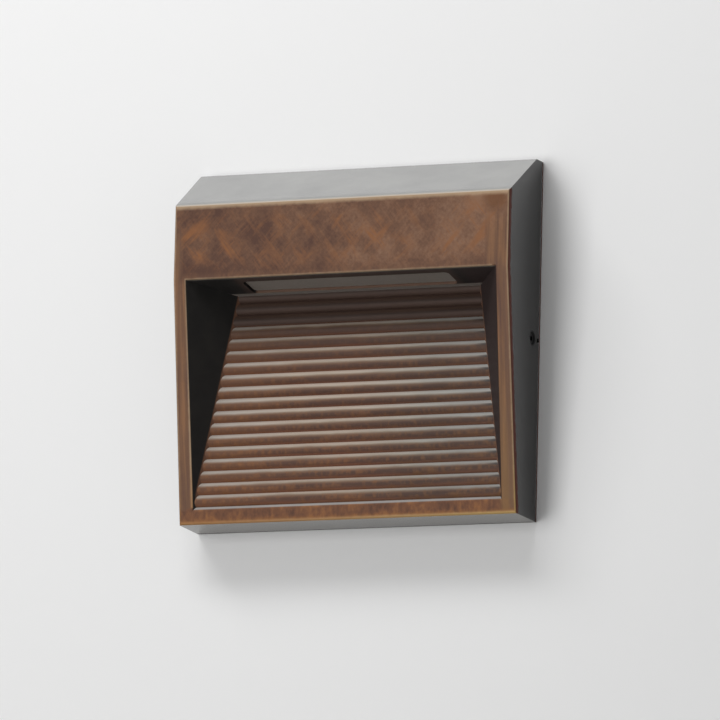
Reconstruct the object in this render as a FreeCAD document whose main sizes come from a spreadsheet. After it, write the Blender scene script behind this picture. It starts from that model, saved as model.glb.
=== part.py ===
import FreeCAD
import Part
import Sketcher
import math
import os

# Outdoor wall sconce: a cast housing with a sloped hood over a reeded recess, hung on a wall plate
# by two set screws. Millimetres. X runs to the right seen from the front, Y into the wall, Z up.
# The origin is the middle of the back, on the wall. A "depth" is a distance out from the wall,
# so a point at depth d has y = -d.

doc = FreeCAD.newDocument("wall_sconce")

SIZES = {
    # Casting, outside
    "width": 140.0,
    "height": 140.0,
    "depth": 33.5,
    "side_draft": 1.5,
    "ridge_depth": 7.0,
    "hood_edge": 24.15,
    "hood_face": 29.15,
    "front_lean": 8.1,
    "wall": 2.5,
    "edge_round": 0.7,
    "mouth_round": 0.7,
    "weep_radius": 1.1,
    "weep_depth": 2.1,
    # Recess and reeded panel
    "frame_top": 5.0,
    "frame_bottom": 5.8,
    "lip": 6.9,
    "lip_step": 0.3,
    "flare": 35.0,
    "panel_lean": 5.4,
    "soffit_pitch": 10.0,
    "reed_pitch": 4.76,
    "reed_radius": 3.0,
    # Lens window in the soffit and the stack that closes it
    "window_length": 85.0,
    "window_width": 12.8,
    "window_setback": 5.1,
    "window_round": 2.0,
    "lens_lap": 1.8,
    "lens_thick": 3.0,
    "lens_clear": 0.3,
    "lens_drop": 1.0,
    "lens_gasket_thick": 0.8,
    "clamp_thick": 1.0,
    "boss_radius": 3.5,
    "boss_gap": 0.7,
    # Bracket and LED board
    "bracket_thick": 1.5,
    "bracket_width": 14.0,
    "bracket_rise": 10.5,
    "bend_radius": 1.0,
    "leg_gap": 0.3,
    "pad_thick": 0.5,
    "board_thick": 1.6,
    "board_length": 80.0,
    "board_width": 11.0,
    "board_screw_inset": 3.0,
    "emitter_length": 3.5,
    "emitter_width": 2.8,
    "emitter_thick": 0.7,
    "emitter_pitch": 5.8,
    "emitter_count": 10,
    "connector_length": 5.4,
    "connector_width": 5.0,
    "connector_thick": 2.6,
    "connector_gap": 1.0,
    # Screws
    "screw_radius": 1.45,
    "screw_head_radius": 2.8,
    "screw_head_height": 2.0,
    "small_screw_radius": 1.2,
    "small_head_radius": 2.1,
    "small_head_height": 1.6,
    "screw_clearance": 0.25,
    "thread_clearance": 0.05,
    "screw_bite": 5.0,
    "screw_point": 0.4,
    "screw_crown": 0.7,
    # Leads
    "lead_radius": 0.7,
    "lead_spacing": 2.5,
    "lead_bend": 5.0,
    "lead_throat": 1.0,
    "clip_length": 6.0,
    "clip_wall": 1.2,
    "clip_clear": 1.0,
    # Driver
    "driver_length": 76.0,
    "driver_height": 24.0,
    "driver_floor": 5.5,
    "driver_gap": 1.65,
    "case_wall": 1.2,
    "potting_drop": 0.4,
    "ear_length": 8.0,
    "ear_height": 10.0,
    "ear_thick": 2.0,
    "driver_bite": 3.4,
    "terminal_length": 12.0,
    "terminal_height": 10.0,
    "terminal_margin": 1.0,
    "terminal_entry": 1.2,
    "terminal_bite": 7.0,
    "terminal_inset": 4.0,
    # Wall plate and what it carries
    "gasket_thick": 1.5,
    "plate_thick": 1.5,
    "plate_margin": 8.0,
    "plate_round": 5.0,
    "tongue": 3.2,
    "flange_depth": 10.7,
    "flange_height": 16.0,
    "box_spacing": 88.9,
    "box_hole_radius": 2.3,
    "cable_radius": 4.0,
    "grommet_neck": 8.0,
    "grommet_lip": 2.5,
    "grommet_lip_thick": 1.2,
    "ground_x": -38.0,
    "ground_z": 32.0,
    "ground_radius": 2.0,
    "ground_head": 7.0,
    "ground_head_height": 3.0,
    "ground_tail": 1.2,
    "washer_radius": 4.5,
    "washer_thick": 1.0,
    # Set screws
    "set_depth": 7.7,
    "set_radius": 1.95,
    "set_length": 5.0,
    "set_socket": 2.0,
    "set_socket_depth": 2.2,
    "set_point": 0.5,
    "set_recess": 0.5,
    "set_bevel": 0.6,
    "set_tip_gap": 0.1,
    "set_boss_height": 14.0,
    "set_boss_front": 12.5,
    # Clearance between pieces that slide past each other
    "slide_gap": 0.3,
}

# How far a cutting form runs past the metal that it cuts
OVERRUN = 6.0
# Two points this close count as one
NEAR = 0.001

PLACES = {
    # Casting outline in the middle plane
    "draft_tan": "tan(Sizes.side_draft * 1deg)",
    "draft_cos": "cos(Sizes.side_draft * 1deg)",
    "lean_tan": "tan(Sizes.front_lean * 1deg)",
    "lean_cos": "cos(Sizes.front_lean * 1deg)",
    "lean_sin": "sin(Sizes.front_lean * 1deg)",
    "half_height": "Sizes.height / 2",
    "hood_top": "Sizes.hood_edge + Sizes.hood_face",
    "hood_tan": "(half_height - hood_top) / (Sizes.depth - Sizes.ridge_depth)",
    "hood_cos": "1 / sqrt(1 + hood_tan ^ 2)",
    "toe_depth": "(Sizes.depth - (Sizes.hood_edge + half_height) * lean_tan) / (1 - draft_tan * lean_tan)",
    "toe_z": "toe_depth * draft_tan - half_height",
    # The same outline, one wall further in
    "core_floor": "Sizes.wall / draft_cos - half_height",
    "core_toe_depth": "(Sizes.depth - Sizes.wall / lean_cos - (Sizes.hood_edge - core_floor) * lean_tan)"
                      " / (1 - draft_tan * lean_tan)",
    "core_toe_z": "core_toe_depth * draft_tan + core_floor",
    "core_kink_z": "Sizes.hood_edge + Sizes.wall * tan(Sizes.front_lean / 2 * 1deg)",
    "core_front": "Sizes.depth - Sizes.wall",
    "core_hood_z": "hood_top + Sizes.wall * (hood_tan - 1 / hood_cos)",
    "core_ridge_z": "half_height - Sizes.wall",
    "core_ridge_depth": "core_front - (core_ridge_z - core_hood_z) / hood_tan",
    "core_half": "Sizes.width / 2 - Sizes.wall / draft_cos",
    "soffit_tan": "tan(Sizes.soffit_pitch * 1deg)",
    "soffit_cos": "cos(Sizes.soffit_pitch * 1deg)",
    "soffit_sin": "sin(Sizes.soffit_pitch * 1deg)",
    "soffit_root": "Sizes.hood_edge - Sizes.depth * soffit_tan",
    # Reeded panel: its crests lie on a plane that meets the lip, and the reeds fill it up to the soffit
    "panel_tan": "tan(Sizes.panel_lean * 1deg)",
    "panel_cos": "cos(Sizes.panel_lean * 1deg)",
    "panel_sin": "sin(Sizes.panel_lean * 1deg)",
    "lip_top": "toe_z + Sizes.lip",
    "lip_front": "Sizes.depth - (Sizes.hood_edge - lip_top) * lean_tan",
    "crest_depth": "lip_front - Sizes.lip_step",
    "reed_valley": "Sizes.reed_radius - sqrt(Sizes.reed_radius ^ 2 - Sizes.reed_pitch ^ 2 / 4)",
    "reed_bed": "(reed_valley + Sizes.reed_radius) / 2",
    "panel_back": "reed_valley + Sizes.wall",
    "back_depth": "crest_depth - panel_back / panel_cos",
    "panel_skew": "1 + soffit_tan * panel_tan",
    "crest_top_depth": "(crest_depth - (soffit_root - lip_top) * panel_tan) / panel_skew",
    "panel_rise": "soffit_root + crest_top_depth * soffit_tan - lip_top",
    "reed_count": "ceil(panel_rise / panel_cos / Sizes.reed_pitch)",
    # The lip ends in the upper half of one more reed, which the front cuts along a crease
    "lip_base": "lip_top - Sizes.reed_pitch / 2 * panel_cos",
    "lip_rod_depth": "crest_depth + Sizes.reed_pitch / 2 * panel_sin - Sizes.reed_radius * panel_cos",
    "lip_rod_z": "lip_base - Sizes.reed_radius * panel_sin",
    "lip_rod_cover": "(Sizes.depth - lip_rod_depth - (Sizes.hood_edge - lip_rod_z) * lean_tan) * lean_cos",
    "lip_chord": "sqrt(Sizes.reed_radius ^ 2 - lip_rod_cover ^ 2)",
    "crease_depth": "lip_rod_depth + lip_rod_cover * lean_cos + lip_chord * lean_sin",
    "crease_z": "lip_rod_z - lip_rod_cover * lean_sin + lip_chord * lean_cos",
    "back_top_depth": "(back_depth - (soffit_root + Sizes.wall / soffit_cos - lip_top) * panel_tan)"
                      " / panel_skew",
    # Flared cheeks of the recess: half-width = base + flare * depth + rise * z
    "flare_tan": "tan(Sizes.flare * 1deg)",
    "mouth_top": "Sizes.width / 2 - Sizes.depth * draft_tan - Sizes.frame_top",
    "mouth_bottom": "Sizes.width / 2 - lip_front * draft_tan - Sizes.frame_bottom",
    "cheek_rise": "(mouth_top - mouth_bottom - flare_tan * (Sizes.depth - lip_front))"
                  " / (Sizes.hood_edge - lip_top)",
    "cheek_base": "mouth_top - flare_tan * Sizes.depth - cheek_rise * Sizes.hood_edge",
    "crease_half": "cheek_base + flare_tan * crease_depth + cheek_rise * crease_z",
    "cheek_slope": "sqrt(flare_tan ^ 2 + cheek_rise ^ 2)",
    "cheek_skew": "sqrt(1 + cheek_slope ^ 2)",
    "cheek_tilt": "atan(0 - cheek_rise / flare_tan)",
    # Soffit frame: at the middle of the lens window, tilted with the hood's underside
    "window_back": "Sizes.window_setback + Sizes.window_width / 2",
    "window_depth": "Sizes.depth - window_back * soffit_cos",
    "window_z": "Sizes.hood_edge - window_back * soffit_sin",
    # Levels of the lens stack above the soffit
    "lens_level": "Sizes.wall + Sizes.lens_gasket_thick",
    "clamp_level": "lens_level + Sizes.lens_thick",
    "foot_level": "clamp_level + Sizes.clamp_thick",
    "deck_level": "foot_level + Sizes.bracket_rise",
    "board_level": "deck_level - Sizes.pad_thick - Sizes.board_thick",
    "lead_level": "board_level - Sizes.connector_thick / 2",
    "lens_half_length": "Sizes.window_length / 2 + Sizes.lens_lap",
    "lens_half_width": "Sizes.window_width / 2 + Sizes.lens_lap",
    "lens_round": "Sizes.window_round + Sizes.lens_lap",
    "boss_x": "lens_half_length + Sizes.boss_gap + Sizes.boss_radius",
    "foot_end": "boss_x + Sizes.boss_radius",
    "leg_x": "boss_x - Sizes.screw_head_radius - Sizes.leg_gap - Sizes.bend_radius"
             " - Sizes.bracket_thick / 2",
    "screw_hole": "Sizes.screw_radius + Sizes.screw_clearance",
    "small_hole": "Sizes.small_screw_radius + Sizes.screw_clearance",
    "thread_hole": "Sizes.screw_radius + Sizes.thread_clearance",
    "small_thread_hole": "Sizes.small_screw_radius + Sizes.thread_clearance",
    "board_screw_x": "Sizes.board_length / 2 - Sizes.board_screw_inset",
    "emitter_end": "(Sizes.emitter_count - 1) * Sizes.emitter_pitch / 2 + Sizes.emitter_length / 2",
    "connector_x": "emitter_end + Sizes.connector_gap + Sizes.connector_length / 2",
    "connector_v": "(Sizes.board_width - Sizes.connector_width) / 2",
    # Leads fall half-way between the wall plate and the top of the panel's back
    "plate_front": "Sizes.gasket_thick + Sizes.plate_thick",
    "lead_hole": "Sizes.lead_radius + Sizes.thread_clearance",
    "lead_depth": "(plate_front + back_top_depth) / 2",
    # Driver: between the wall plate and the panel's back, above the casting's floor
    "driver_z": "core_floor + Sizes.driver_floor + Sizes.driver_height / 2",
    "driver_top": "driver_z + Sizes.driver_height / 2",
    "driver_rear": "(plate_front + lead_depth) / 2",
    "driver_front": "back_depth - (driver_top - lip_top) * panel_tan - Sizes.driver_gap",
    "driver_thick": "driver_front - driver_rear",
    "driver_screw_x": "(Sizes.driver_length + Sizes.ear_length) / 2",
    "terminal_x": "Sizes.terminal_inset + Sizes.terminal_length / 2 - Sizes.driver_length / 2",
    "terminal_thick": "driver_thick - 2 * Sizes.terminal_margin",
    # Wall plate and set screws
    "set_boss_x": "Sizes.width / 2 - Sizes.set_depth * draft_tan - Sizes.set_recess - Sizes.set_length"
                  " - Sizes.set_tip_gap + Sizes.slide_gap",
    "flange_x": "set_boss_x - Sizes.slide_gap",
    "set_tip_x": "flange_x + Sizes.set_tip_gap",
    "plate_half_width": "flange_x - Sizes.tongue",
    "plate_half_height": "half_height - Sizes.plate_margin",
    "grommet_radius": "Sizes.grommet_neck + Sizes.grommet_lip",
}


def fill(name, cells, prefix):
    """A sheet with one row for each named value: its alias beside the cell that holds it."""
    sheet = doc.addObject("Spreadsheet::Sheet", name)
    for row, (alias, content) in enumerate(cells.items(), start=1):
        sheet.set(f"A{row}", alias)
        sheet.set(f"B{row}", f"{prefix}{content}")
        sheet.setAlias(f"B{row}", alias)
    doc.recompute()
    return sheet


fill("Sizes", SIZES, "")
places = fill("Places", PLACES, "=")


def value(expression):
    """The number that an expression of the sheets stands for."""
    found = places.evalExpression(str(expression))
    return float(getattr(found, "Value", found))


def bind(item, **expressions):
    """Ties properties of an item to expressions; a double underscore stands for a dot."""
    for path, expression in expressions.items():
        item.setExpression(path.replace("__", "."), str(expression))


def body(name):
    return doc.addObject("PartDesign::Body", name)


def sketch(owner, plane, offset="0"):
    """A sketch on one of the body's own planes, moved along that plane's normal."""
    made = owner.newObject("Sketcher::SketchObject", f"{owner.Name}_sketch")
    support = [item for item in owner.Origin.OriginFeatures if item.Role == f"{plane}_Plane"]
    made.AttachmentSupport = [(support[0], "")]
    made.MapMode = "FlatFace"
    bind(made, AttachmentOffset__Base__z=offset)
    return made


def pin(target, curve, end, across, up):
    """Holds one point of a sketch at a pair of expressions, measured from the sketch's origin."""
    for kind, place in (("DistanceX", across), ("DistanceY", up)):
        index = target.addConstraint(Sketcher.Constraint(kind, -1, 1, curve, end, value(place)))
        target.setExpression(f"Constraints[{index}]", str(place))


def outline(target, corners):
    """A closed outline of straight lines through corners given as pairs of expressions."""
    points = [FreeCAD.Vector(value(across), value(up), 0) for across, up in corners]
    lines = [
        target.addGeometry(Part.LineSegment(start, points[(index + 1) % len(points)]))
        for index, start in enumerate(points)
    ]
    for index, line in enumerate(lines):
        after = lines[(index + 1) % len(lines)]
        target.addConstraint(Sketcher.Constraint("Coincident", line, 2, after, 1))
    for line, (across, up) in zip(lines, corners):
        pin(target, line, 1, across, up)


def rectangle(target, left, right, low, high):
    outline(target, [(left, low), (right, low), (right, high), (left, high)])


def circle(target, across, up, radius):
    centre = FreeCAD.Vector(value(across), value(up), 0)
    ring = target.addGeometry(Part.Circle(centre, FreeCAD.Vector(0, 0, 1), value(radius)))
    pin(target, ring, 3, across, up)
    index = target.addConstraint(Sketcher.Constraint("Radius", ring, value(radius)))
    target.setExpression(f"Constraints[{index}]", str(radius))


def rounded(target, half_length, half_width, radius):
    """A centred rectangle with round corners: four quarter arcs joined by tangent lines."""
    quarter = math.pi / 2
    reach = value(f"{half_length} - ({radius})")
    rise = value(f"{half_width} - ({radius})")
    centres = [(1, 1), (-1, 1), (-1, -1), (1, -1)]
    arcs = []
    for turn, (side, level) in enumerate(centres):
        centre = FreeCAD.Vector(side * reach, level * rise, 0)
        ring = Part.Circle(centre, FreeCAD.Vector(0, 0, 1), value(radius))
        arcs.append(target.addGeometry(Part.ArcOfCircle(ring, turn * quarter, (turn + 1) * quarter)))
    lines = []
    for turn, arc in enumerate(arcs):
        start = target.getPoint(arc, 2)
        end = target.getPoint(arcs[(turn + 1) % 4], 1)
        lines.append(target.addGeometry(Part.LineSegment(start, end)))
    for turn, arc in enumerate(arcs):
        target.addConstraint(Sketcher.Constraint("Tangent", arc, 2, lines[turn], 1))
        target.addConstraint(Sketcher.Constraint("Tangent", lines[turn], 2, arcs[(turn + 1) % 4], 1))
    for arc, (side, level) in zip(arcs, centres):
        across = f"{side} * ({half_length} - ({radius}))"
        up = f"{level} * ({half_width} - ({radius}))"
        pin(target, arc, 3, across, up)
    index = target.addConstraint(Sketcher.Constraint("Radius", arcs[0], value(radius)))
    target.setExpression(f"Constraints[{index}]", str(radius))
    for arc in arcs[1:]:
        target.addConstraint(Sketcher.Constraint("Equal", arcs[0], arc))


def pad(owner, profile, length, side="One side", reverse=False):
    made = owner.newObject("PartDesign::Pad", f"{owner.Name}_pad")
    made.Profile = profile
    made.SideType = side
    made.Reversed = reverse
    bind(made, Length=length)
    doc.recompute()
    return made


def pocket(owner, profile, length=None, side="One side", reverse=False):
    """Cuts the profile to a length, or right through where no length is given."""
    before = owner.Shape.Volume
    made = owner.newObject("PartDesign::Pocket", f"{owner.Name}_pocket")
    made.Profile = profile
    made.SideType = side
    made.Reversed = reverse
    if length is None:
        made.Type = "ThroughAll"
    else:
        bind(made, Length=length)
    doc.recompute()
    if not made.Shape.Volume < before:
        raise RuntimeError(f"{made.Name} cuts nothing")
    return made


def revolve(owner, profile):
    """Turns a profile drawn beside the sketch's upright axis."""
    made = owner.newObject("PartDesign::Revolution", f"{owner.Name}_turn")
    made.Profile = profile
    made.ReferenceAxis = (profile, ["V_Axis"])
    made.Angle = 360
    doc.recompute()
    return made


def round_bends(owner, bends):
    """Rounds edges in pairs, left and right: each bend is an edge's middle (x, y, z) and its radius."""
    for (x, y, z), radius in bends:
        base = owner.Tip
        middles = [FreeCAD.Vector(side * value(x), value(y), value(z)) for side in (1, -1)]
        names = [
            f"Edge{index}"
            for index, edge in enumerate(base.Shape.Edges, start=1)
            if any(edge.CenterOfMass.isEqual(middle, NEAR) for middle in middles)
        ]
        made = owner.newObject("PartDesign::Fillet", f"{owner.Name}_bend")
        made.Base = (base, names)
        bind(made, Radius=radius)
        doc.recompute()


def join(kind, name, base, tool):
    """A cut, fuse or common of two items."""
    made = doc.addObject(f"Part::{kind}", name)
    made.Base = base
    made.Tool = tool
    doc.recompute()
    return made


def group(name, members):
    """Like pieces that share one node as separate solids."""
    made = doc.addObject("Part::Compound", name)
    made.Links = members
    return made


def turn(item, axis, angle):
    item.Placement = FreeCAD.Placement(FreeCAD.Vector(), FreeCAD.Rotation(FreeCAD.Vector(*axis), 1))
    bind(item, Placement__Rotation__Angle=angle)


def move(item, x="0", y="0", z="0"):
    bind(item, Placement__Base__x=x, Placement__Base__y=y, Placement__Base__z=z)


def on_soffit(item, x="0", back="0", level="0", flip=False):
    """Sets an item in the soffit frame: back runs to the wall along the soffit, level up from it."""
    if flip:
        turn(item, (1, 0, 0), "180 - Sizes.soffit_pitch")
    else:
        turn(item, (-1, 0, 0), "Sizes.soffit_pitch")
    move(
        item,
        x,
        f"({back}) * Places.soffit_cos + ({level}) * Places.soffit_sin - Places.window_depth",
        f"Places.window_z - ({back}) * Places.soffit_sin + ({level}) * Places.soffit_cos",
    )


def cylinder(name, radius, length):
    made = doc.addObject("Part::Cylinder", name)
    bind(made, Radius=radius, Height=length)
    return made


def trim_sides(owner, half_at_wall, slope, tilt=None):
    """Cuts both flanks of a body to planes where half-width = half_at_wall + slope * run.

    The run is the depth or, where a tilt is given, the distance along a line tilted down by it.
    """
    flanks = sketch(owner, "XY")
    if tilt is not None:
        flanks.AttachmentOffset = FreeCAD.Placement(
            FreeCAD.Vector(), FreeCAD.Rotation(FreeCAD.Vector(1, 0, 0), 1)
        )
        bind(flanks, AttachmentOffset__Rotation__Angle=tilt)
    near = "(0 - Sizes.depth)"
    far = "(Sizes.depth + Sizes.height)"
    outside = f"(Sizes.width + {OVERRUN})"
    for side in (1, -1):
        outline(flanks, [
            (f"{side} * ({half_at_wall} + ({slope}) * {near})", f"0 - {near}"),
            (f"{side} * ({half_at_wall} + ({slope}) * {far})", f"0 - {far}"),
            (f"{side} * {outside}", f"0 - {far}"),
            (f"{side} * {outside}", f"0 - {near}"),
        ])
    return pocket(owner, flanks, side="Symmetric")


def casting_block():
    """The casting's outside: the side profile carried across, with drafted flanks."""
    block = body("casting_block")
    profile = sketch(block, "YZ")
    outline(profile, [
        ("0", "0 - Places.half_height"),
        ("0 - Places.toe_depth", "Places.toe_z"),
        ("0 - Sizes.depth", "Sizes.hood_edge"),
        ("0 - Sizes.depth", "Places.hood_top"),
        ("0 - Sizes.ridge_depth", "Places.half_height"),
        ("0", "Places.half_height"),
    ])
    pad(block, profile, "Sizes.width", "Symmetric")
    trim_sides(block, "Sizes.width / 2", "0 - Places.draft_tan")
    return block


def back_core():
    """The hollow inside the casting, open at the wall: the same profile, one wall further in."""
    core = body("back_core")
    profile = sketch(core, "YZ")
    outline(profile, [
        (f"{OVERRUN}", f"Places.core_floor - {OVERRUN} * Places.draft_tan"),
        ("0 - Places.core_toe_depth", "Places.core_toe_z"),
        ("0 - Places.core_front", "Places.core_kink_z"),
        ("0 - Places.core_front", "Places.core_hood_z"),
        ("0 - Places.core_ridge_depth", "Places.core_ridge_z"),
        (f"{OVERRUN}", "Places.core_ridge_z"),
    ])
    pad(core, profile, "Sizes.width", "Symmetric")
    trim_sides(core, "Places.core_half", "0 - Places.draft_tan")
    return core


def recess_form(name, floor, skin, bottom):
    """The recess as a solid, grown by a skin: floor is its distance behind the reeds' crests."""
    form = body(name)
    floor_depth = f"(Places.crest_depth - ({floor}) / Places.panel_cos)"
    soffit_z = f"(Sizes.hood_edge + ({skin}) / Places.soffit_cos - Sizes.depth * Places.soffit_tan)"
    top_depth = (
        f"(({floor_depth} - ({soffit_z} - Places.lip_top) * Places.panel_tan)"
        f" / (1 + Places.soffit_tan * Places.panel_tan))"
    )
    open_depth = f"(Sizes.depth + {OVERRUN})"
    profile = sketch(form, "YZ")
    outline(profile, [
        (f"0 - ({floor_depth} - ({bottom} - Places.lip_top) * Places.panel_tan)", bottom),
        (f"0 - {top_depth}", f"{soffit_z} + {top_depth} * Places.soffit_tan"),
        (f"0 - {open_depth}", f"{soffit_z} + {open_depth} * Places.soffit_tan"),
        (f"0 - {open_depth}", bottom),
    ])
    pad(form, profile, "Sizes.width * 2", "Symmetric")
    base = f"(Places.cheek_base + ({skin}) * Places.cheek_skew)"
    trim_sides(form, base, "Places.cheek_slope", "Places.cheek_tilt")
    return form


def reed_grooves(form):
    """Cuts the reeds into the floor of the recess form, one round rod for each, up the panel."""
    rod = sketch(form, "YZ")
    circle(rod, "0 - Places.lip_rod_depth", "Places.lip_rod_z", "Sizes.reed_radius")
    uphill = FreeCAD.Vector(value("Places.panel_sin"), value("Places.panel_cos"), 0)
    slope = rod.addGeometry(Part.LineSegment(FreeCAD.Vector(), uphill))
    rod.setConstruction(slope, True)
    pin(rod, slope, 1, "0", "0")
    pin(rod, slope, 2, "Places.panel_sin", "Places.panel_cos")
    first = pocket(form, rod, side="Symmetric")
    row = form.newObject("PartDesign::LinearPattern", "reed_row")
    row.Originals = [first]
    row.Direction = (rod, ["Axis0"])
    bind(row, Length="Places.reed_count * Sizes.reed_pitch", Occurrences="Places.reed_count + 1")
    form.Tip = row
    doc.recompute()


def round_edges(name, base, corners, radius, closed=True):
    """Rounds the edges that join each corner to the next and, if closed, the last to the first."""
    points = [FreeCAD.Vector(value(x), 0 - value(depth), value(z)) for x, depth, z in corners]
    chosen = []
    pairs = list(zip(points, points[1:] + points[:1]))[:None if closed else -1]
    for start, end in pairs:
        for index, edge in enumerate(base.Shape.Edges, start=1):
            ends = [edge.Vertexes[0].Point, edge.Vertexes[-1].Point]
            if any(p.isEqual(start, NEAR) and q.isEqual(end, NEAR) for p, q in (ends, ends[::-1])):
                chosen.append((index, value(radius), value(radius)))
    if len(chosen) != len(pairs):
        raise RuntimeError(f"{name} found {len(chosen)} edges of {len(pairs)}")
    made = doc.addObject("Part::Fillet", name)
    made.Base = base
    made.Edges = chosen
    doc.recompute()
    return made


def housing():
    """The die casting: block, recess with its reeds, hollow back, bosses, holes and rounded edges."""
    die = recess_form("recess_die", "Places.reed_bed", "0", "Places.lip_base")
    reed_grooves(die)
    cast = join("Cut", "cast_front", casting_block(), die)
    brow_half = "(Sizes.width / 2 - Sizes.depth * Places.draft_tan)"
    toe_half = "(Sizes.width / 2 - Places.toe_depth * Places.draft_tan)"
    eased = round_edges("front_edges", cast, [
        (toe_half, "Places.toe_depth", "Places.toe_z"),
        (brow_half, "Sizes.depth", "Sizes.hood_edge"),
        (brow_half, "Sizes.depth", "Places.hood_top"),
        (f"0 - {brow_half}", "Sizes.depth", "Places.hood_top"),
        (f"0 - {brow_half}", "Sizes.depth", "Sizes.hood_edge"),
        (f"0 - {toe_half}", "Places.toe_depth", "Places.toe_z"),
    ], "Sizes.edge_round")
    softened = round_edges("mouth_edges", eased, [
        ("Places.crease_half", "Places.crease_depth", "Places.crease_z"),
        ("Places.mouth_top", "Sizes.depth", "Sizes.hood_edge"),
        ("0 - Places.mouth_top", "Sizes.depth", "Sizes.hood_edge"),
        ("0 - Places.crease_half", "Places.crease_depth", "Places.crease_z"),
    ], "Sizes.mouth_round", closed=False)
    behind_panel = recess_form("recess_wall", "Places.panel_back", "Sizes.wall", "0 - Sizes.height")
    hollow = join("Cut", "hollow", back_core(), behind_panel)
    shell = join("Cut", "cast_shell", softened, hollow)

    solids = [shell]
    holes = []
    for side, name in ((1, "right"), (-1, "left")):
        block = doc.addObject("Part::Box", f"set_boss_{name}")
        bind(
            block,
            Length="Places.core_half - Places.set_boss_x + Sizes.wall / 2",
            Width="Sizes.set_boss_front - Places.plate_front - Sizes.slide_gap",
            Height="Sizes.set_boss_height",
        )
        inner = "Places.set_boss_x" if side > 0 else "0 - Places.core_half - Sizes.wall / 2"
        move(block, inner, "0 - Sizes.set_boss_front", "0 - Sizes.set_boss_height / 2")
        solids.append(block)

        tapped = cylinder(f"set_hole_{name}", "Sizes.set_radius + Sizes.thread_clearance", "Sizes.width / 2")
        turn(tapped, (0, side, 0), "90")
        move(tapped, f"{side} * Places.flange_x", "0 - Sizes.set_depth")
        holes.append(tapped)

        bevel = doc.addObject("Part::Cone", f"set_bevel_{name}")
        bind(
            bevel,
            Radius1="Sizes.set_radius + Sizes.thread_clearance",
            Radius2="Sizes.set_radius + Sizes.thread_clearance + Sizes.set_bevel * 2",
            Height="Sizes.set_bevel * 2",
        )
        turn(bevel, (0, side, 0), "90")
        face_x = "Sizes.width / 2 - Sizes.set_depth * Places.draft_tan"
        move(bevel, f"{side} * ({face_x} - Sizes.set_bevel)", "0 - Sizes.set_depth")
        holes.append(bevel)

        weep = cylinder(f"weep_hole_{name}", "Sizes.weep_radius", "Sizes.wall * 4")
        turn(weep, (0, side, 0), "90")
        move(weep, f"{side} * (Sizes.width / 2 - Sizes.wall * 2)", "0 - Sizes.weep_depth")
        holes.append(weep)

        post = cylinder(f"lens_boss_{name}", "Sizes.boss_radius", "Places.clamp_level - Sizes.wall / 2")
        on_soffit(post, f"{side} * Places.boss_x", level="Sizes.wall / 2")
        solids.append(post)

        pilot = cylinder(f"lens_pilot_{name}", "Places.thread_hole", "Sizes.screw_bite")
        on_soffit(pilot, f"{side} * Places.boss_x", level="Places.clamp_level - Sizes.screw_bite")
        holes.append(pilot)

        seat_back = "Places.back_depth - (Places.driver_z - Places.lip_top) * Places.panel_tan"
        stud = cylinder(
            f"driver_boss_{name}", "Sizes.boss_radius", f"{seat_back} + Sizes.wall / 2 - Places.driver_front"
        )
        turn(stud, (1, 0, 0), "90")
        move(stud, f"{side} * Places.driver_screw_x", "0 - Places.driver_front", "Places.driver_z")
        solids.append(stud)

        pilot = cylinder(f"driver_pilot_{name}", "Places.thread_hole", "Sizes.driver_bite")
        turn(pilot, (1, 0, 0), "90")
        move(pilot, f"{side} * Places.driver_screw_x", "0 - Places.driver_front", "Places.driver_z")
        holes.append(pilot)

    window = body("lens_window")
    profile = sketch(window, "XY")
    rounded(profile, "Sizes.window_length / 2", "Sizes.window_width / 2", "Sizes.window_round")
    pad(window, profile, "Sizes.wall * 4", "Symmetric")
    on_soffit(window)
    holes.append(window)

    bossed = doc.addObject("Part::MultiFuse", "bossed_shell")
    bossed.Shapes = solids
    bossed.Refine = True
    cutters = doc.addObject("Part::Compound", "housing_holes")
    cutters.Links = holes
    doc.recompute()
    return join("Cut", "housing", bossed, cutters)


def lens():
    """Flat glass with a step below that fills the window almost to the soffit."""
    plate = body("lens")
    profile = sketch(plate, "XY")
    rounded(profile, "Places.lens_half_length", "Places.lens_half_width", "Places.lens_round")
    pad(plate, profile, "Sizes.lens_thick")
    step = sketch(plate, "XY")
    rounded(
        step, "Sizes.window_length / 2 - Sizes.lens_clear", "Sizes.window_width / 2 - Sizes.lens_clear",
        "Sizes.window_round - Sizes.lens_clear",
    )
    pad(plate, step, "Places.lens_level - Sizes.lens_drop", reverse=True)
    on_soffit(plate, level="Places.lens_level")
    return plate


def lens_gasket():
    ring = body("lens_gasket")
    profile = sketch(ring, "XY")
    rounded(profile, "Places.lens_half_length", "Places.lens_half_width", "Places.lens_round")
    rounded(profile, "Sizes.window_length / 2", "Sizes.window_width / 2", "Sizes.window_round")
    pad(ring, profile, "Sizes.lens_gasket_thick")
    on_soffit(ring, level="Sizes.wall")
    return ring


def lens_clamp():
    """A stamped frame over the lens, with a hole over each boss."""
    frame = body("lens_clamp")
    profile = sketch(frame, "XY")
    rounded(profile, "Places.foot_end", "Places.lens_half_width", "Sizes.boss_radius")
    rounded(profile, "Sizes.window_length / 2", "Sizes.window_width / 2", "Sizes.window_round")
    for side in (1, -1):
        circle(profile, f"{side} * Places.boss_x", "0", "Places.screw_hole")
    pad(frame, profile, "Sizes.clamp_thick")
    on_soffit(frame, level="Places.clamp_level")
    return frame


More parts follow.
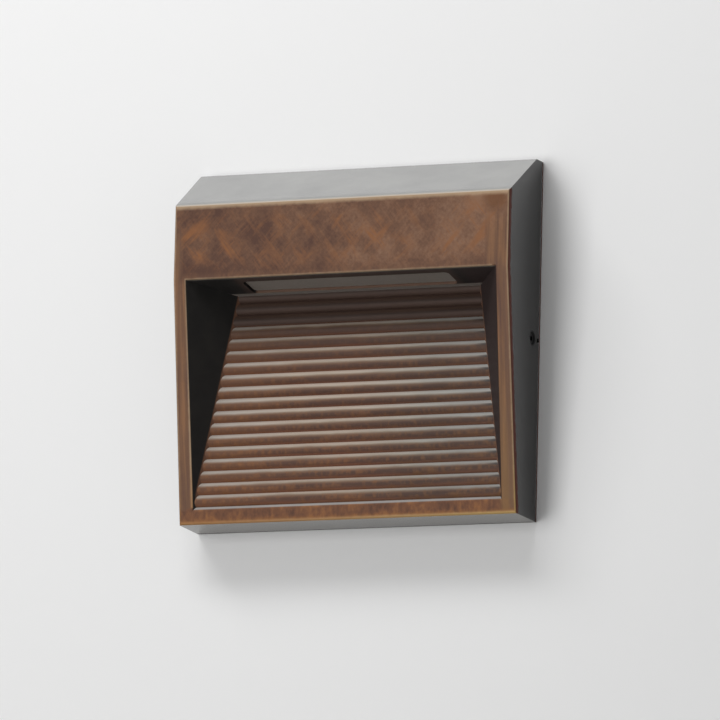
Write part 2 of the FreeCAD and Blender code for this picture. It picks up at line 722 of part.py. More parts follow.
def led_bracket():
    """A bent strip: two feet on the clamp, two legs and a deck, with rounded bends."""
    strip = body("led_bracket")
    profile = sketch(strip, "XZ")
    rise = "Sizes.bracket_rise"
    thick = "Sizes.bracket_thick"
    outside = f"(Places.leg_x + {thick} / 2)"
    inside = f"(Places.leg_x - {thick} / 2)"
    right = [
        (inside, rise),
        (inside, "0"),
        ("Places.foot_end", "0"),
        ("Places.foot_end", thick),
        (outside, thick),
        (outside, f"{rise} + {thick}"),
    ]
    left = [(f"0 - {across}", up) for across, up in reversed(right)]
    outline(profile, right + left)
    pad(strip, profile, "Sizes.bracket_width", "Symmetric")
    holes = sketch(strip, "XY")
    for side in (1, -1):
        circle(holes, f"{side} * Places.boss_x", "0", "Places.screw_hole")
        circle(holes, f"{side} * Places.board_screw_x", "0", "Places.small_thread_hole")
    pocket(strip, holes, reverse=True)
    outer_bend = f"Sizes.bend_radius + {thick}"
    round_bends(strip, [
        ((inside, "0", "0"), outer_bend),
        ((outside, "0", thick), "Sizes.bend_radius"),
        ((inside, "0", rise), "Sizes.bend_radius"),
        ((outside, "0", f"{rise} + {thick}"), outer_bend),
    ])
    on_soffit(strip, level="Places.foot_level")
    return strip


def screw(name, radius, length, head_radius, head_height):
    """A pan-head screw standing on its seat: the shank runs down from the head's underside."""
    made = body(name)
    profile = sketch(made, "XZ")
    outline(profile, [
        ("0", f"0 - ({length})"),
        (f"{radius} - Sizes.screw_point", f"0 - ({length})"),
        (radius, f"Sizes.screw_point - ({length})"),
        (radius, "0"),
        (head_radius, "0"),
        (head_radius, f"{head_height} - Sizes.screw_crown"),
        (f"{head_radius} - Sizes.screw_crown", head_height),
        ("0", head_height),
    ])
    revolve(made, profile)
    return made


def bracket_screws():
    seat = "Places.foot_level + Sizes.bracket_thick"
    length = f"{seat} - Places.clamp_level + Sizes.screw_bite - Sizes.slide_gap"
    made = []
    for side, name in ((1, "right"), (-1, "left")):
        one = screw(
            f"bracket_screw_{name}", "Sizes.screw_radius", length,
            "Sizes.screw_head_radius", "Sizes.screw_head_height",
        )
        on_soffit(one, f"{side} * Places.boss_x", level=seat)
        made.append(one)
    return group("bracket_screws", made)


def board_layer(name, thick, level):
    """A strip the size of the board, with the board's two screw holes."""
    strip = body(name)
    profile = sketch(strip, "XY")
    rectangle(
        profile, "0 - Sizes.board_length / 2", "Sizes.board_length / 2",
        "0 - Sizes.board_width / 2", "Sizes.board_width / 2",
    )
    for side in (1, -1):
        circle(profile, f"{side} * Places.board_screw_x", "0", "Places.small_hole")
    pad(strip, profile, thick)
    on_soffit(strip, level=level)
    return strip


def led_emitters():
    """A row of LED packages under the board."""
    made = []
    for index in range(int(value("Sizes.emitter_count"))):
        package = doc.addObject("Part::Box", f"emitter_{index + 1}")
        bind(
            package,
            Length="Sizes.emitter_length",
            Width="Sizes.emitter_width",
            Height="Sizes.emitter_thick",
        )
        middle = f"({index} - (Sizes.emitter_count - 1) / 2) * Sizes.emitter_pitch"
        on_soffit(
            package, f"{middle} - Sizes.emitter_length / 2", "0 - Sizes.emitter_width / 2",
            "Places.board_level - Sizes.emitter_thick",
        )
        made.append(package)
    return group("led_emitters", made)


def lead_offsets():
    """The two leads lie side by side, half a spacing to each side of the connector's middle."""
    return ("0 - Sizes.lead_spacing / 2", "Sizes.lead_spacing / 2")


def lead_ways(owner, middle, level, side="One side", reverse=False):
    """Cuts a seat for each lead, with a throat that is open to the wall and narrower than the lead."""
    seats = sketch(owner, "XY")
    throats = sketch(owner, "XY")
    for offset in lead_offsets():
        across = f"{middle} + {offset}"
        circle(seats, across, level, "Places.lead_hole")
        rectangle(
            throats, f"{across} - Sizes.lead_throat / 2", f"{across} + Sizes.lead_throat / 2",
            level, f"{OVERRUN}",
        )
    pocket(owner, seats, side=side, reverse=reverse)
    pocket(owner, throats, side=side, reverse=reverse)


def board_connector():
    block = body("board_connector")
    profile = sketch(block, "XY")
    rectangle(
        profile, "0 - Sizes.connector_length / 2", "Sizes.connector_length / 2",
        "0 - Sizes.connector_width / 2", "Sizes.connector_width / 2",
    )
    pad(block, profile, "Sizes.connector_thick")
    entries = sketch(block, "XZ", "0 - Sizes.connector_width / 2")
    for offset in lead_offsets():
        circle(entries, offset, "Sizes.connector_thick / 2", "Places.lead_hole")
    pocket(block, entries, "Sizes.connector_width / 2", reverse=True)
    lower = "Places.board_level - Sizes.connector_thick"
    on_soffit(block, "Places.connector_x", "Places.connector_v", lower)
    return block


def board_screws():
    made = []
    for side, name in ((1, "right"), (-1, "left")):
        one = screw(
            f"board_screw_{name}", "Sizes.small_screw_radius",
            "Sizes.board_thick + Sizes.pad_thick + Sizes.bracket_thick",
            "Sizes.small_head_radius", "Sizes.small_head_height",
        )
        on_soffit(one, f"{side} * Places.board_screw_x", level="Places.board_level", flip=True)
        made.append(one)
    return group("board_screws", made)


def lead(name, offset):
    """A lead from the board's connector, back and down to the driver: two runs and one bend."""
    x = value(f"Places.connector_x + {offset}")
    start_back = "(Places.connector_v + Sizes.connector_width / 2)"
    start_y = f"{start_back} * Places.soffit_cos + Places.lead_level * Places.soffit_sin"
    start_z = f"Places.lead_level * Places.soffit_cos - {start_back} * Places.soffit_sin"
    start = FreeCAD.Vector(
        x,
        value(f"{start_y} - Places.window_depth"),
        value(f"{start_z} + Places.window_z"),
    )
    fall_y = value("0 - Places.lead_depth")
    corner = FreeCAD.Vector(x, fall_y, start.z - (fall_y - start.y) * value("Places.soffit_tan"))
    end = FreeCAD.Vector(x, fall_y, value("Places.driver_top - Sizes.case_wall"))
    back = (corner - start).normalize()
    down = (end - corner).normalize()
    bend = value("Sizes.lead_bend")
    half_turn = back.getAngle(down) / 2
    setback = bend * math.tan(half_turn)
    first = corner - back * setback
    last = corner + down * setback
    middle = corner + (down - back).normalize() * (bend / math.cos(half_turn) - bend)
    route = Part.Wire([
        Part.LineSegment(start, first).toShape(),
        Part.Arc(first, middle, last).toShape(),
        Part.LineSegment(last, end).toShape(),
    ])
    radius = value("Sizes.lead_radius")
    section = Part.Wire([Part.Circle(start, back, radius).toShape()])
    made = doc.addObject("Part::Feature", name)
    made.Shape = route.makePipeShell([section], True, False)
    share = made.Shape.Volume / (math.pi * radius ** 2 * route.Length)
    print(f"{name}: length {route.Length:.1f}, bend {bend:.1f}, volume {share:.4f} of section")
    return made


def lead_clip():
    """A saddle bonded to the back of the panel, with a way for each lead."""
    saddle = body("lead_clip")
    profile = sketch(saddle, "YZ")
    half = "Sizes.clip_length / 2"
    rear = "0 - (Places.plate_front + Sizes.clip_clear)"
    low_seat = f"0 - (Places.back_depth - (0 - {half} - Places.lip_top) * Places.panel_tan)"
    high_seat = f"0 - (Places.back_depth - ({half} - Places.lip_top) * Places.panel_tan)"
    outline(profile, [
        (rear, f"0 - {half}"),
        (low_seat, f"0 - {half}"),
        (high_seat, half),
        (rear, half),
    ])
    pad(saddle, profile, "Sizes.lead_spacing + 2 * (Sizes.lead_radius + Sizes.clip_wall)", "Symmetric")
    lead_ways(saddle, "0", "0 - Places.lead_depth", side="Symmetric")
    move(saddle, "Places.connector_x")
    return saddle


def driver_case():
    """A tray open to the wall, with an ear at each end on the panel's bosses."""
    tray = body("driver_case")
    profile = sketch(tray, "XZ")
    rectangle(
        profile, "0 - Sizes.driver_length / 2", "Sizes.driver_length / 2",
        "0 - Sizes.driver_height / 2", "Sizes.driver_height / 2",
    )
    pad(tray, profile, "Places.driver_thick")
    ears = sketch(tray, "XZ", "Places.driver_thick - Sizes.ear_thick")
    root = "(Sizes.driver_length / 2 - Sizes.case_wall)"
    tip = "(Sizes.driver_length / 2 + Sizes.ear_length)"
    half_ear = "Sizes.ear_height / 2"
    for side in (1, -1):
        rectangle(ears, f"{side} * {root}", f"{side} * {tip}", f"0 - {half_ear}", half_ear)
        circle(ears, f"{side} * Places.driver_screw_x", "0", "Places.screw_hole")
    pad(tray, ears, "Sizes.ear_thick")
    hollow = sketch(tray, "XZ")
    inner_length = "(Sizes.driver_length / 2 - Sizes.case_wall)"
    inner_height = "(Sizes.driver_height / 2 - Sizes.case_wall)"
    rectangle(hollow, f"0 - {inner_length}", inner_length, f"0 - {inner_height}", inner_height)
    pocket(tray, hollow, "Places.driver_thick - Sizes.case_wall", reverse=True)
    lead_ways(tray, "Places.connector_x", "Places.driver_rear - Places.lead_depth", reverse=True)
    move(tray, y="0 - Places.driver_rear", z="Places.driver_z")
    return tray


def driver_potting():
    """The resin in the tray, a little below its rim."""
    resin = doc.addObject("Part::Box", "driver_potting")
    bind(
        resin,
        Length="Sizes.driver_length - 2 * Sizes.case_wall",
        Width="Places.driver_thick - Sizes.case_wall - Sizes.potting_drop",
        Height="Sizes.driver_height - 2 * Sizes.case_wall",
    )
    move(
        resin,
        "Sizes.case_wall - Sizes.driver_length / 2",
        "Sizes.case_wall - Places.driver_front",
        "Places.driver_z - Sizes.driver_height / 2 + Sizes.case_wall",
    )
    return resin


def driver_terminal():
    """A push-in block on top of the driver, with an entry for each supply conductor."""
    block = body("driver_terminal")
    profile = sketch(block, "XY")
    half = "Sizes.terminal_length / 2"
    rectangle(profile, f"0 - {half}", half, "0 - Places.terminal_thick / 2", "Places.terminal_thick / 2")
    pad(block, profile, "Sizes.terminal_height")
    entries = sketch(block, "XY", "Sizes.terminal_height")
    for side in (1, -1):
        circle(entries, f"{side} * Sizes.terminal_length / 4", "0", "Sizes.terminal_entry")
    pocket(block, entries, "Sizes.terminal_bite")
    move(block, "Places.terminal_x", "0 - Places.driver_rear - Places.driver_thick / 2", "Places.driver_top")
    return block


def driver_screws():
    seat = "Sizes.ear_thick - Places.driver_front"
    length = "Sizes.ear_thick + Sizes.driver_bite - Sizes.slide_gap"
    made = []
    for side, name in ((1, "right"), (-1, "left")):
        one = screw(
            f"driver_screw_{name}", "Sizes.screw_radius", length,
            "Sizes.screw_head_radius", "Sizes.screw_head_height",
        )
        turn(one, (-1, 0, 0), "90")
        move(one, f"{side} * Places.driver_screw_x", seat, "Places.driver_z")
        made.append(one)
    return group("driver_screws", made)


def plate_outline(profile, cable_hole, ground_hole):
    """The plate's outline with its cable hole, its two outlet-box holes and the hole for the earth screw."""
    rounded(profile, "Places.plate_half_width", "Places.plate_half_height", "Sizes.plate_round")
    circle(profile, "0", "0", cable_hole)
    for side in (1, -1):
        circle(profile, f"{side} * Sizes.box_spacing / 2", "0", "Sizes.box_hole_radius")
    circle(profile, "Sizes.ground_x", "Sizes.ground_z", ground_hole)


def wall_gasket():
    sheet = body("wall_gasket")
    profile = sketch(sheet, "XZ")
    plate_outline(profile, "Places.grommet_radius + Sizes.slide_gap", "Sizes.washer_radius")
    pad(sheet, profile, "Sizes.gasket_thick")
    return sheet


def wall_plate():
    """The steel plate on the outlet box, with a flange bent out at each side for a set screw."""
    plate = body("wall_plate")
    profile = sketch(plate, "XZ")
    plate_outline(profile, "Sizes.grommet_neck", "Sizes.ground_radius + Sizes.thread_clearance")
    pad(plate, profile, "Sizes.plate_thick")
    root = "(Places.plate_half_width - Sizes.plate_thick)"
    half = "Sizes.flange_height / 2"
    tongues = sketch(plate, "XZ")
    flanges = sketch(plate, "XZ")
    for side in (1, -1):
        rectangle(tongues, f"{side} * {root}", f"{side} * Places.flange_x", f"0 - {half}", half)
        rectangle(
            flanges, f"{side} * (Places.flange_x - Sizes.plate_thick)", f"{side} * Places.flange_x",
            f"0 - {half}", half,
        )
    pad(plate, tongues, "Sizes.plate_thick")
    pad(plate, flanges, "Sizes.flange_depth - Sizes.gasket_thick")
    round_bends(plate, [
        (("Places.flange_x", "0", "0"), "Sizes.bend_radius + Sizes.plate_thick"),
        (("Places.flange_x - Sizes.plate_thick", "0 - Sizes.plate_thick", "0"), "Sizes.bend_radius"),
    ])
    move(plate, y="0 - Sizes.gasket_thick")
    return plate


def plate_grommet():
    """A rubber bush: a neck in the plate's cable hole between two lips, round a plain bore."""
    bush = body("plate_grommet")
    profile = sketch(bush, "XZ")
    outline(profile, [
        ("Sizes.cable_radius", "0 - Sizes.grommet_lip_thick"),
        ("Places.grommet_radius", "0 - Sizes.grommet_lip_thick"),
        ("Places.grommet_radius", "0"),
        ("Sizes.grommet_neck", "0"),
        ("Sizes.grommet_neck", "Sizes.plate_thick"),
        ("Places.grommet_radius", "Sizes.plate_thick"),
        ("Sizes.grommet_neck", "Sizes.plate_thick + Sizes.grommet_lip_thick"),
        ("Sizes.cable_radius", "Sizes.plate_thick + Sizes.grommet_lip_thick"),
    ])
    revolve(bush, profile)
    turn(bush, (1, 0, 0), "90")
    move(bush, y="0 - Sizes.gasket_thick")
    return bush


def ground_washer():
    ring = body("ground_washer")
    profile = sketch(ring, "XZ")
    circle(profile, "0", "0", "Sizes.washer_radius")
    circle(profile, "0", "0", "Sizes.ground_radius + Sizes.screw_clearance")
    pad(ring, profile, "Sizes.washer_thick")
    move(ring, "Sizes.ground_x", "0 - Places.plate_front", "Sizes.ground_z")
    return ring


def hexagon(target, across_flats):
    reach = f"{across_flats} / sqrt(3)"
    outline(target, [
        (f"{reach} * cos({angle} * 1deg)", f"{reach} * sin({angle} * 1deg)")
        for angle in range(0, 360, 60)
    ])


def ground_screw():
    """A hex-head screw for the earth conductor: shank through the washer and the plate."""
    bolt = body("ground_screw")
    head = sketch(bolt, "XZ")
    hexagon(head, "Sizes.ground_head")
    pad(bolt, head, "Sizes.ground_head_height")
    shank = sketch(bolt, "XZ")
    circle(shank, "0", "0", "Sizes.ground_radius")
    pad(bolt, shank, "Sizes.washer_thick + Sizes.plate_thick + Sizes.ground_tail", reverse=True)
    move(bolt, "Sizes.ground_x", "0 - Places.plate_front - Sizes.washer_thick", "Sizes.ground_z")
    return bolt


def set_screw(name, side):
    """A headless screw with a hex socket at its outer end and a blunt cone at its tip."""
    grub = body(name)
    profile = sketch(grub, "XZ")
    outline(profile, [
        ("0", "0"),
        ("Sizes.set_radius - Sizes.set_point", "0"),
        ("Sizes.set_radius", "Sizes.set_point"),
        ("Sizes.set_radius", "Sizes.set_length"),
        ("0", "Sizes.set_length"),
    ])
    revolve(grub, profile)
    socket = sketch(grub, "XY", "Sizes.set_length")
    hexagon(socket, "Sizes.set_socket")
    pocket(grub, socket, "Sizes.set_socket_depth")
    turn(grub, (0, side, 0), "90")
    move(grub, f"{side} * Places.set_tip_x", "0 - Sizes.set_depth")
    return grub


nodes = [
    housing(),
    lens(),
    lens_gasket(),
    lens_clamp(),
    led_bracket(),
    bracket_screws(),
    board_layer("thermal_pad", "Sizes.pad_thick", "Places.deck_level - Sizes.pad_thick"),
    board_layer("led_board", "Sizes.board_thick", "Places.board_level"),
    led_emitters(),
    board_connector(),
    board_screws(),
    lead("lead_red", lead_offsets()[0]),
    lead("lead_black", lead_offsets()[1]),
    lead_clip(),
    driver_case(),
    driver_potting(),
    driver_terminal(),
    driver_screws(),
    wall_gasket(),
    wall_plate(),
    plate_grommet(),
    ground_washer(),
    ground_screw(),
    set_screw("set_screw_left", -1),
    set_screw("set_screw_right", 1),
]
doc.recompute()

for item in doc.Objects:
    if "Invalid" in item.State or "Error" in item.State:
        raise RuntimeError(f"{item.Name} failed to build")
for node in nodes:
    if node.Shape.isNull() or not node.Shape.isValid():
        raise RuntimeError(f"{node.Label} has no valid shape")

os.makedirs("parts", exist_ok=True)
for node in nodes:
    node.Shape.exportStep(f"parts/{node.Label}.step")
    print(f"{node.Label}: {len(node.Shape.Solids)} solids, {node.Shape.Volume / 1000:.3f} cm3")
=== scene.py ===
import bpy
import math
from mathutils import Matrix, Vector


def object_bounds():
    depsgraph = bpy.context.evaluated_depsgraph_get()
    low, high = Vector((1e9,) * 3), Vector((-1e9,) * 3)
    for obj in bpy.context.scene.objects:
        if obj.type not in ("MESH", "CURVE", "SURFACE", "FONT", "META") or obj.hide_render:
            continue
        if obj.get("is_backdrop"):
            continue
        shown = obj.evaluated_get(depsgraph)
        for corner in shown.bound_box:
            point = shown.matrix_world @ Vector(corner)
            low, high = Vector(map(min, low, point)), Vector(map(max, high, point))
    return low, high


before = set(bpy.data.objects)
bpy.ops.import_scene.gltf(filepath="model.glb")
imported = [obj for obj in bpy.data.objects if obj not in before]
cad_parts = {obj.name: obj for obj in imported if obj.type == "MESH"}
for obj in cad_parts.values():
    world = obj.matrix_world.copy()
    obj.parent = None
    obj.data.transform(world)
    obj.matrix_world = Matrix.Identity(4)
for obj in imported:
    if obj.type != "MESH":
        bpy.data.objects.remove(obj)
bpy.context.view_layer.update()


# Wall gasket: a sheet of black closed-cell foam, die cut to the plate's outline and squeezed between
# the plate and the wall. Its skin is matt, with small burst cells.

def linear(colour):
    """An sRGB hex colour as linear red, green, blue and alpha."""
    parts = [int(colour[index:index + 2], 16) / 255 for index in (1, 3, 5)]
    return [c / 12.92 if c <= 0.04045 else ((c + 0.055) / 1.055) ** 2.4 for c in parts] + [1.0]


def add(tree, kind, inputs=None, stops=None, to=None, **settings):
    """Adds a node with its settings and links, and returns the first output that it has in use. An input
    is a value or an output, stops are a ramp's places and colours, and the output can go to a socket."""
    node = tree.nodes.new(f"ShaderNode{kind}")
    for name, content in settings.items():
        setattr(node, name, content)
    for name, content in (inputs or {}).items():
        if isinstance(content, bpy.types.NodeSocket):
            tree.links.new(content, node.inputs[name])
        else:
            node.inputs[name].default_value = content
    if stops:
        elements = node.color_ramp.elements
        elements[0].position = stops[0][0]
        elements[1].position = stops[-1][0]
        for position, _ in stops[1:-1]:
            elements.new(position)
        for element, (_, colour) in zip(elements, stops):
            element.color = linear(colour)
    output = next(socket for socket in node.outputs if socket.enabled)
    if to is not None:
        tree.links.new(output, to)
    return output


def start(name, roughness=0.5, metallic=0.0):
    """A new material: returns it with its tree, its shader and the place of a point on the piece."""
    material = bpy.data.materials.new(name)
    material.use_nodes = True
    tree = material.node_tree
    shader = tree.nodes["Principled BSDF"]
    shader.inputs["Roughness"].default_value = roughness
    shader.inputs["Metallic"].default_value = metallic
    place = add(tree, "TexCoord").node.outputs["Object"]
    return material, tree, shader, place


def dress(material, *names):
    """Gives CAD nodes a material."""
    for name in names:
        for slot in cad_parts[name].material_slots:
            slot.material = material


cell_size, cell_depth, patch_size = 0.0009, 0.0002, 0.012
foam, tree, shader, place = start("black_closed_cell_foam", 0.9)
cells = add(tree, "TexVoronoi", {"Vector": place, "Scale": 1 / cell_size})
patches = add(tree, "TexNoise", {"Vector": place, "Scale": 1 / patch_size, "Detail": 3.0})
add(tree, "ValToRGB", {"Fac": patches}, ((0.0, "#1f1f20"), (1.0, "#3a3a38")), shader.inputs["Base Color"])
add(tree, "Bump", {"Height": cells, "Strength": 0.5, "Distance": cell_depth}, to=shader.inputs["Normal"])
dress(foam, "wall_gasket")


# Wall plate: 1.5 mm steel, punched and bent, then zinc plated and passivated. The plating is bright
# grey with faint cloudy spangle and rolling marks.

spangle_size, roll_length, roll_width = 0.007, 0.04, 0.0008
zinc, tree, shader, place = start("zinc_plated_sheet_steel", metallic=1.0)
spangle = add(tree, "TexVoronoi", {"Vector": place, "Scale": 1 / spangle_size}).node.outputs["Color"]
rolling = add(
    tree, "Mapping", {"Vector": place, "Scale": (roll_length, roll_length, roll_width)}, vector_type="TEXTURE"
)
marks = add(tree, "TexNoise", {"Vector": rolling, "Scale": 1.0, "Detail": 4.0})
# The inputs of a mix go by number: 0 is the share, 2 and 3 are its values, and 6 and 7 its colours
cloud = add(tree, "Mix", {0: 0.6, 2: spangle, 3: marks})
add(tree, "ValToRGB", {"Fac": cloud}, ((0.0, "#8d9194"), (1.0, "#c6c9c8")), shader.inputs["Base Color"])
add(tree, "MapRange", {"Value": marks, "To Min": 0.3, "To Max": 0.5}, to=shader.inputs["Roughness"])
dress(zinc, "wall_plate")


# Cable bush and lens gasket: moulded black rubber, the bush snapped into the plate's hole and the
# gasket laid in the lens seat. The mould leaves a fine matt grain.

pit_size, pit_depth, bloom_size = 0.0005, 0.0001, 0.006
rubber, tree, shader, place = start("moulded_black_rubber", 0.7)
pits = add(tree, "TexNoise", {"Vector": place, "Scale": 1 / pit_size, "Detail": 2.0})
bloom = add(tree, "TexNoise", {"Vector": place, "Scale": 1 / bloom_size, "Detail": 2.0})
add(tree, "ValToRGB", {"Fac": bloom}, ((0.0, "#171717"), (1.0, "#2b2a29")), shader.inputs["Base Color"])
add(tree, "Bump", {"Height": pits, "Strength": 0.25, "Distance": pit_depth}, to=shader.inputs["Normal"])
dress(rubber, "plate_grommet", "lens_gasket")


# Earth screw and washer: a hex-head steel screw dyed green so that it is known as the earth, over a
# plain zinc washer. The dye is thin and the metal shines through it. The fixture's other machine screws
# have the washer's bright zinc.

wear_size, turning_size = 0.002, 0.0006
dyed, tree, shader, place = start("green_dyed_zinc", 0.35, 0.9)
wear = add(tree, "TexNoise", {"Vector": place, "Scale": 1 / wear_size, "Detail": 4.0})
add(tree, "ValToRGB", {"Fac": wear}, ((0.3, "#1f6b34"), (0.75, "#4a9a5c")), shader.inputs["Base Color"])
dress(dyed, "ground_screw")

screw_zinc, tree, shader, place = start("bright_zinc_screw_steel", metallic=1.0)
turning = add(tree, "TexNoise", {"Vector": place, "Scale": 1 / turning_size, "Detail": 3.0})
add(tree, "ValToRGB", {"Fac": turning}, ((0.0, "#9b9d9f"), (1.0, "#d2d2ce")), shader.inputs["Base Color"])
add(tree, "MapRange", {"Value": turning, "To Min": 0.22, "To Max": 0.42}, to=shader.inputs["Roughness"])
dress(screw_zinc, "ground_washer", "bracket_screws", "board_screws", "driver_screws")


# Housing: one aluminium die casting, sprayed with dark bronze lacquer and rubbed by hand on the front.
# The rubbing leaves copper-brown clouds and strokes, crossed on the hood, upright on the frame and
# along the reeds. It goes through to gold on the edges. A pale painted highlight lies on what faces up,
# and painted shade darkens the reeds under the hood.

# Place of a point in millimetres, as are all lengths in this section, and the way its surface faces
per_metre = 1000.0
bronze, tree, shader, place = start("rubbed_bronze_lacquer")
millimetres = add(tree, "VectorMath", {0: place, "Scale": per_metre}, operation="SCALE")
x, y, z = add(tree, "SeparateXYZ", {"Vector": millimetres}).node.outputs
facing = add(tree, "SeparateXYZ", {"Vector": place.node.outputs["Normal"]}).node.outputs
up = facing["Z"]
across = add(tree, "Math", {0: x}, operation="ABSOLUTE")
depth = add(tree, "Math", {0: y, 1: -1.0}, operation="MULTIPLY")
ahead = add(tree, "Math", {0: facing["Y"], 1: -1.0}, operation="MULTIPLY")
sideways = add(tree, "Math", {0: facing["X"]}, operation="ABSOLUTE")

# Distance behind the front of the casting, whose lower part leans back from the hood's edge
hood_edge, front_depth, lean = 24.15, 33.5, math.tan(math.radians(8.1))
drop = add(tree, "Math", {0: hood_edge, 1: z}, operation="SUBTRACT")
below = add(tree, "Math", {0: drop, 1: 0.0}, operation="MAXIMUM")
front = add(tree, "Math", {0: below, 1: -lean, 2: front_depth}, operation="MULTIPLY_ADD")
behind = add(tree, "Math", {0: front, 1: depth}, operation="SUBTRACT")

# Distance in from the outer edge of the front: the nearest of side, hood slope and toe, where slope and
# toe count less because their wear is broader
half_width, draft = 70.0, math.tan(math.radians(1.5))
flank = add(tree, "Math", {0: depth, 1: -draft, 2: half_width}, operation="MULTIPLY_ADD")
from_flank = add(tree, "Math", {0: flank, 1: across}, operation="SUBTRACT")
hood_top, hood_slope, slope_count = 53.3, 0.63, 0.5
slope = add(tree, "Math", {0: behind, 1: hood_slope, 2: hood_top}, operation="MULTIPLY_ADD")
from_slope = add(tree, "Math", {0: slope, 1: z}, operation="SUBTRACT")
slope_band = add(tree, "Math", {0: from_slope, 1: slope_count}, operation="MULTIPLY")
toe, toe_count = -69.47, 0.7
from_toe = add(tree, "Math", {0: z, 1: toe}, operation="SUBTRACT")
toe_band = add(tree, "Math", {0: from_toe, 1: toe_count}, operation="MULTIPLY")
from_ends = add(tree, "Math", {0: slope_band, 1: toe_band}, operation="MINIMUM")
from_rim = add(tree, "Math", {0: from_flank, 1: from_ends}, operation="MINIMUM")
outer = add(tree, "Math", {0: from_rim, 1: behind}, operation="MAXIMUM")

# Distance from the sides and the top of the recess's mouth, on the frame or into the recess. The
# lowest reeds stand close behind the front and count as the recess too. The lining takes in the mouth's
# rounded edge.
mouth_half, lip_top, low_reed = 63.9, -62.57, -51.0
beside = add(tree, "Math", {0: across, 1: mouth_half}, operation="SUBTRACT")
above = add(tree, "Math", {0: z, 1: hood_edge}, operation="SUBTRACT")
outside = add(tree, "Math", {0: beside, 1: above}, operation="MAXIMUM")
from_mouth = add(tree, "Math", {0: outside}, operation="ABSOLUTE")
under = add(tree, "Math", {0: lip_top, 1: z}, operation="SUBTRACT")
past_lip = add(tree, "Math", {0: from_mouth, 1: under}, operation="MAXIMUM")
inner = add(tree, "Math", {0: past_lip, 1: behind}, operation="MAXIMUM")
within = add(tree, "Math", {0: outside, 1: under}, operation="MAXIMUM")
mouth = add(tree, "MapRange", {"Value": within, "From Min": 0.3, "From Max": -0.3})
lining = add(tree, "MapRange", {"Value": within, "From Min": 0.9, "From Max": 0.4})
sunk = add(tree, "MapRange", {"Value": behind, "From Min": 0.9, "From Max": 1.6})
low = add(tree, "MapRange", {"Value": z, "From Min": low_reed + 1.0, "From Max": low_reed - 1.0})
clear = add(tree, "MapRange", {"Value": beside, "From Min": -0.9, "From Max": -1.5})
low_reeds = add(tree, "Math", {0: low, 1: clear}, operation="MULTIPLY")
deep = add(tree, "Math", {0: sunk, 1: low_reeds}, operation="MAXIMUM")
in_recess = add(tree, "Math", {0: mouth, 1: deep}, operation="MULTIPLY")

# Strokes of the rubbing pad, soft and in two crossed directions, each with the hair lines of the pad's
# grit, drawn coarser than they are
stroke_angles, stroke_length, stroke_width = (-47, 52), 16.0, 4.8
hair_width, hair_weight = 0.7, 0.09
strokes = []
for angle in stroke_angles:
    bands = []
    for width in (stroke_width, hair_width):
        turned = add(
            tree, "Mapping",
            {
                "Vector": millimetres,
                "Rotation": (0.0, math.radians(angle), 0.0),
                "Scale": (stroke_length, stroke_length, width),
            },
            vector_type="TEXTURE",
        )
        bands.append(add(
            tree, "TexNoise",
            {"Vector": turned, "Scale": 1.0, "Detail": 5.0, "Roughness": 0.6, "Distortion": 0.25},
        ))
    soft, hair = bands
    hairs = add(
        tree, "MapRange",
        {"Value": hair, "From Min": 0.3, "From Max": 0.7, "To Min": -hair_weight, "To Max": hair_weight},
    )
    strokes.append(add(tree, "Math", {0: soft, 1: hairs}, operation="ADD"))
crossed = add(tree, "Math", {0: strokes[0], 1: strokes[1]}, operation="MAXIMUM")
scratched = add(tree, "Mix", {0: 0.5, 2: strokes[0], 3: strokes[1]})

# Mottled lacquer, lighter to the right and darker along the hood's lower edge
patch_size, cloud_size, grain_size = 30.0, 9.0, 1.1
dark_end, light_end, shade_foot, shade_head = -65.0, 45.0, 24.0, 32.0
patches = add(tree, "TexNoise", {"Vector": millimetres, "Scale": 1 / patch_size, "Detail": 2.0})
clouds = add(
    tree, "TexNoise",
    {"Vector": millimetres, "Scale": 1 / cloud_size, "Detail": 4.0, "Roughness": 0.6, "Distortion": 0.4},
)
grain = add(tree, "TexNoise", {"Vector": millimetres, "Scale": 1 / grain_size, "Detail": 2.0})
clouded = add(tree, "Mix", {0: 0.5, 2: clouds, 3: scratched})
grained = add(tree, "Mix", {0: 0.22, 2: clouded, 3: grain})
along = add(
    tree, "MapRange",
    {"Value": x, "From Min": dark_end, "From Max": light_end, "To Min": -0.25, "To Max": -0.1},
)
edge_shade = add(
    tree, "MapRange",
    {"Value": z, "From Min": shade_foot, "From Max": shade_head, "To Min": -0.1, "To Max": 0.0},
    interpolation_type="SMOOTHSTEP",
)
uneven = add(tree, "Math", {0: along, 1: edge_shade}, operation="ADD")
patched = add(tree, "Math", {0: patches, 1: 0.32, 2: uneven}, operation="MULTIPLY_ADD")
mottle = add(tree, "Math", {0: grained, 1: patched}, operation="ADD")
hood = add(tree, "ValToRGB", {"Fac": mottle}, ((0.34, "#4d2e1f"), (0.5, "#674631"), (0.66, "#826049")))

# Copper in the strokes, most on the middle of the hood and to the left, and a stain in the top right
# corner
copper_foot, copper_low, copper_high, copper_top = 25.0, 33.0, 44.0, 53.0
copper_right, copper_left = 50.0, -30.0
stain_centre, stain_spread = (63.5, -33.5, 50.0), 8.0
coppered = add(
    tree, "MapRange", {"Value": crossed, "From Min": 0.46, "From Max": 0.76}, interpolation_type="SMOOTHSTEP"
)
worked = add(tree, "MapRange", {"Value": patches, "From Min": 0.4, "From Max": 0.6, "To Min": 0.4})
leftward = add(
    tree, "MapRange", {"Value": x, "From Min": copper_right, "From Max": copper_left, "To Min": 0.95}
)
rise = add(
    tree, "MapRange", {"Value": z, "From Min": copper_foot, "From Max": copper_low, "To Min": 0.15},
    interpolation_type="SMOOTHSTEP",
)
fall = add(
    tree, "MapRange", {"Value": z, "From Min": copper_top, "From Max": copper_high, "To Min": 0.15},
    interpolation_type="SMOOTHSTEP",
)
scored = add(tree, "MapRange", {"Value": scratched, "From Min": 0.4, "From Max": 0.55, "To Min": 0.45})
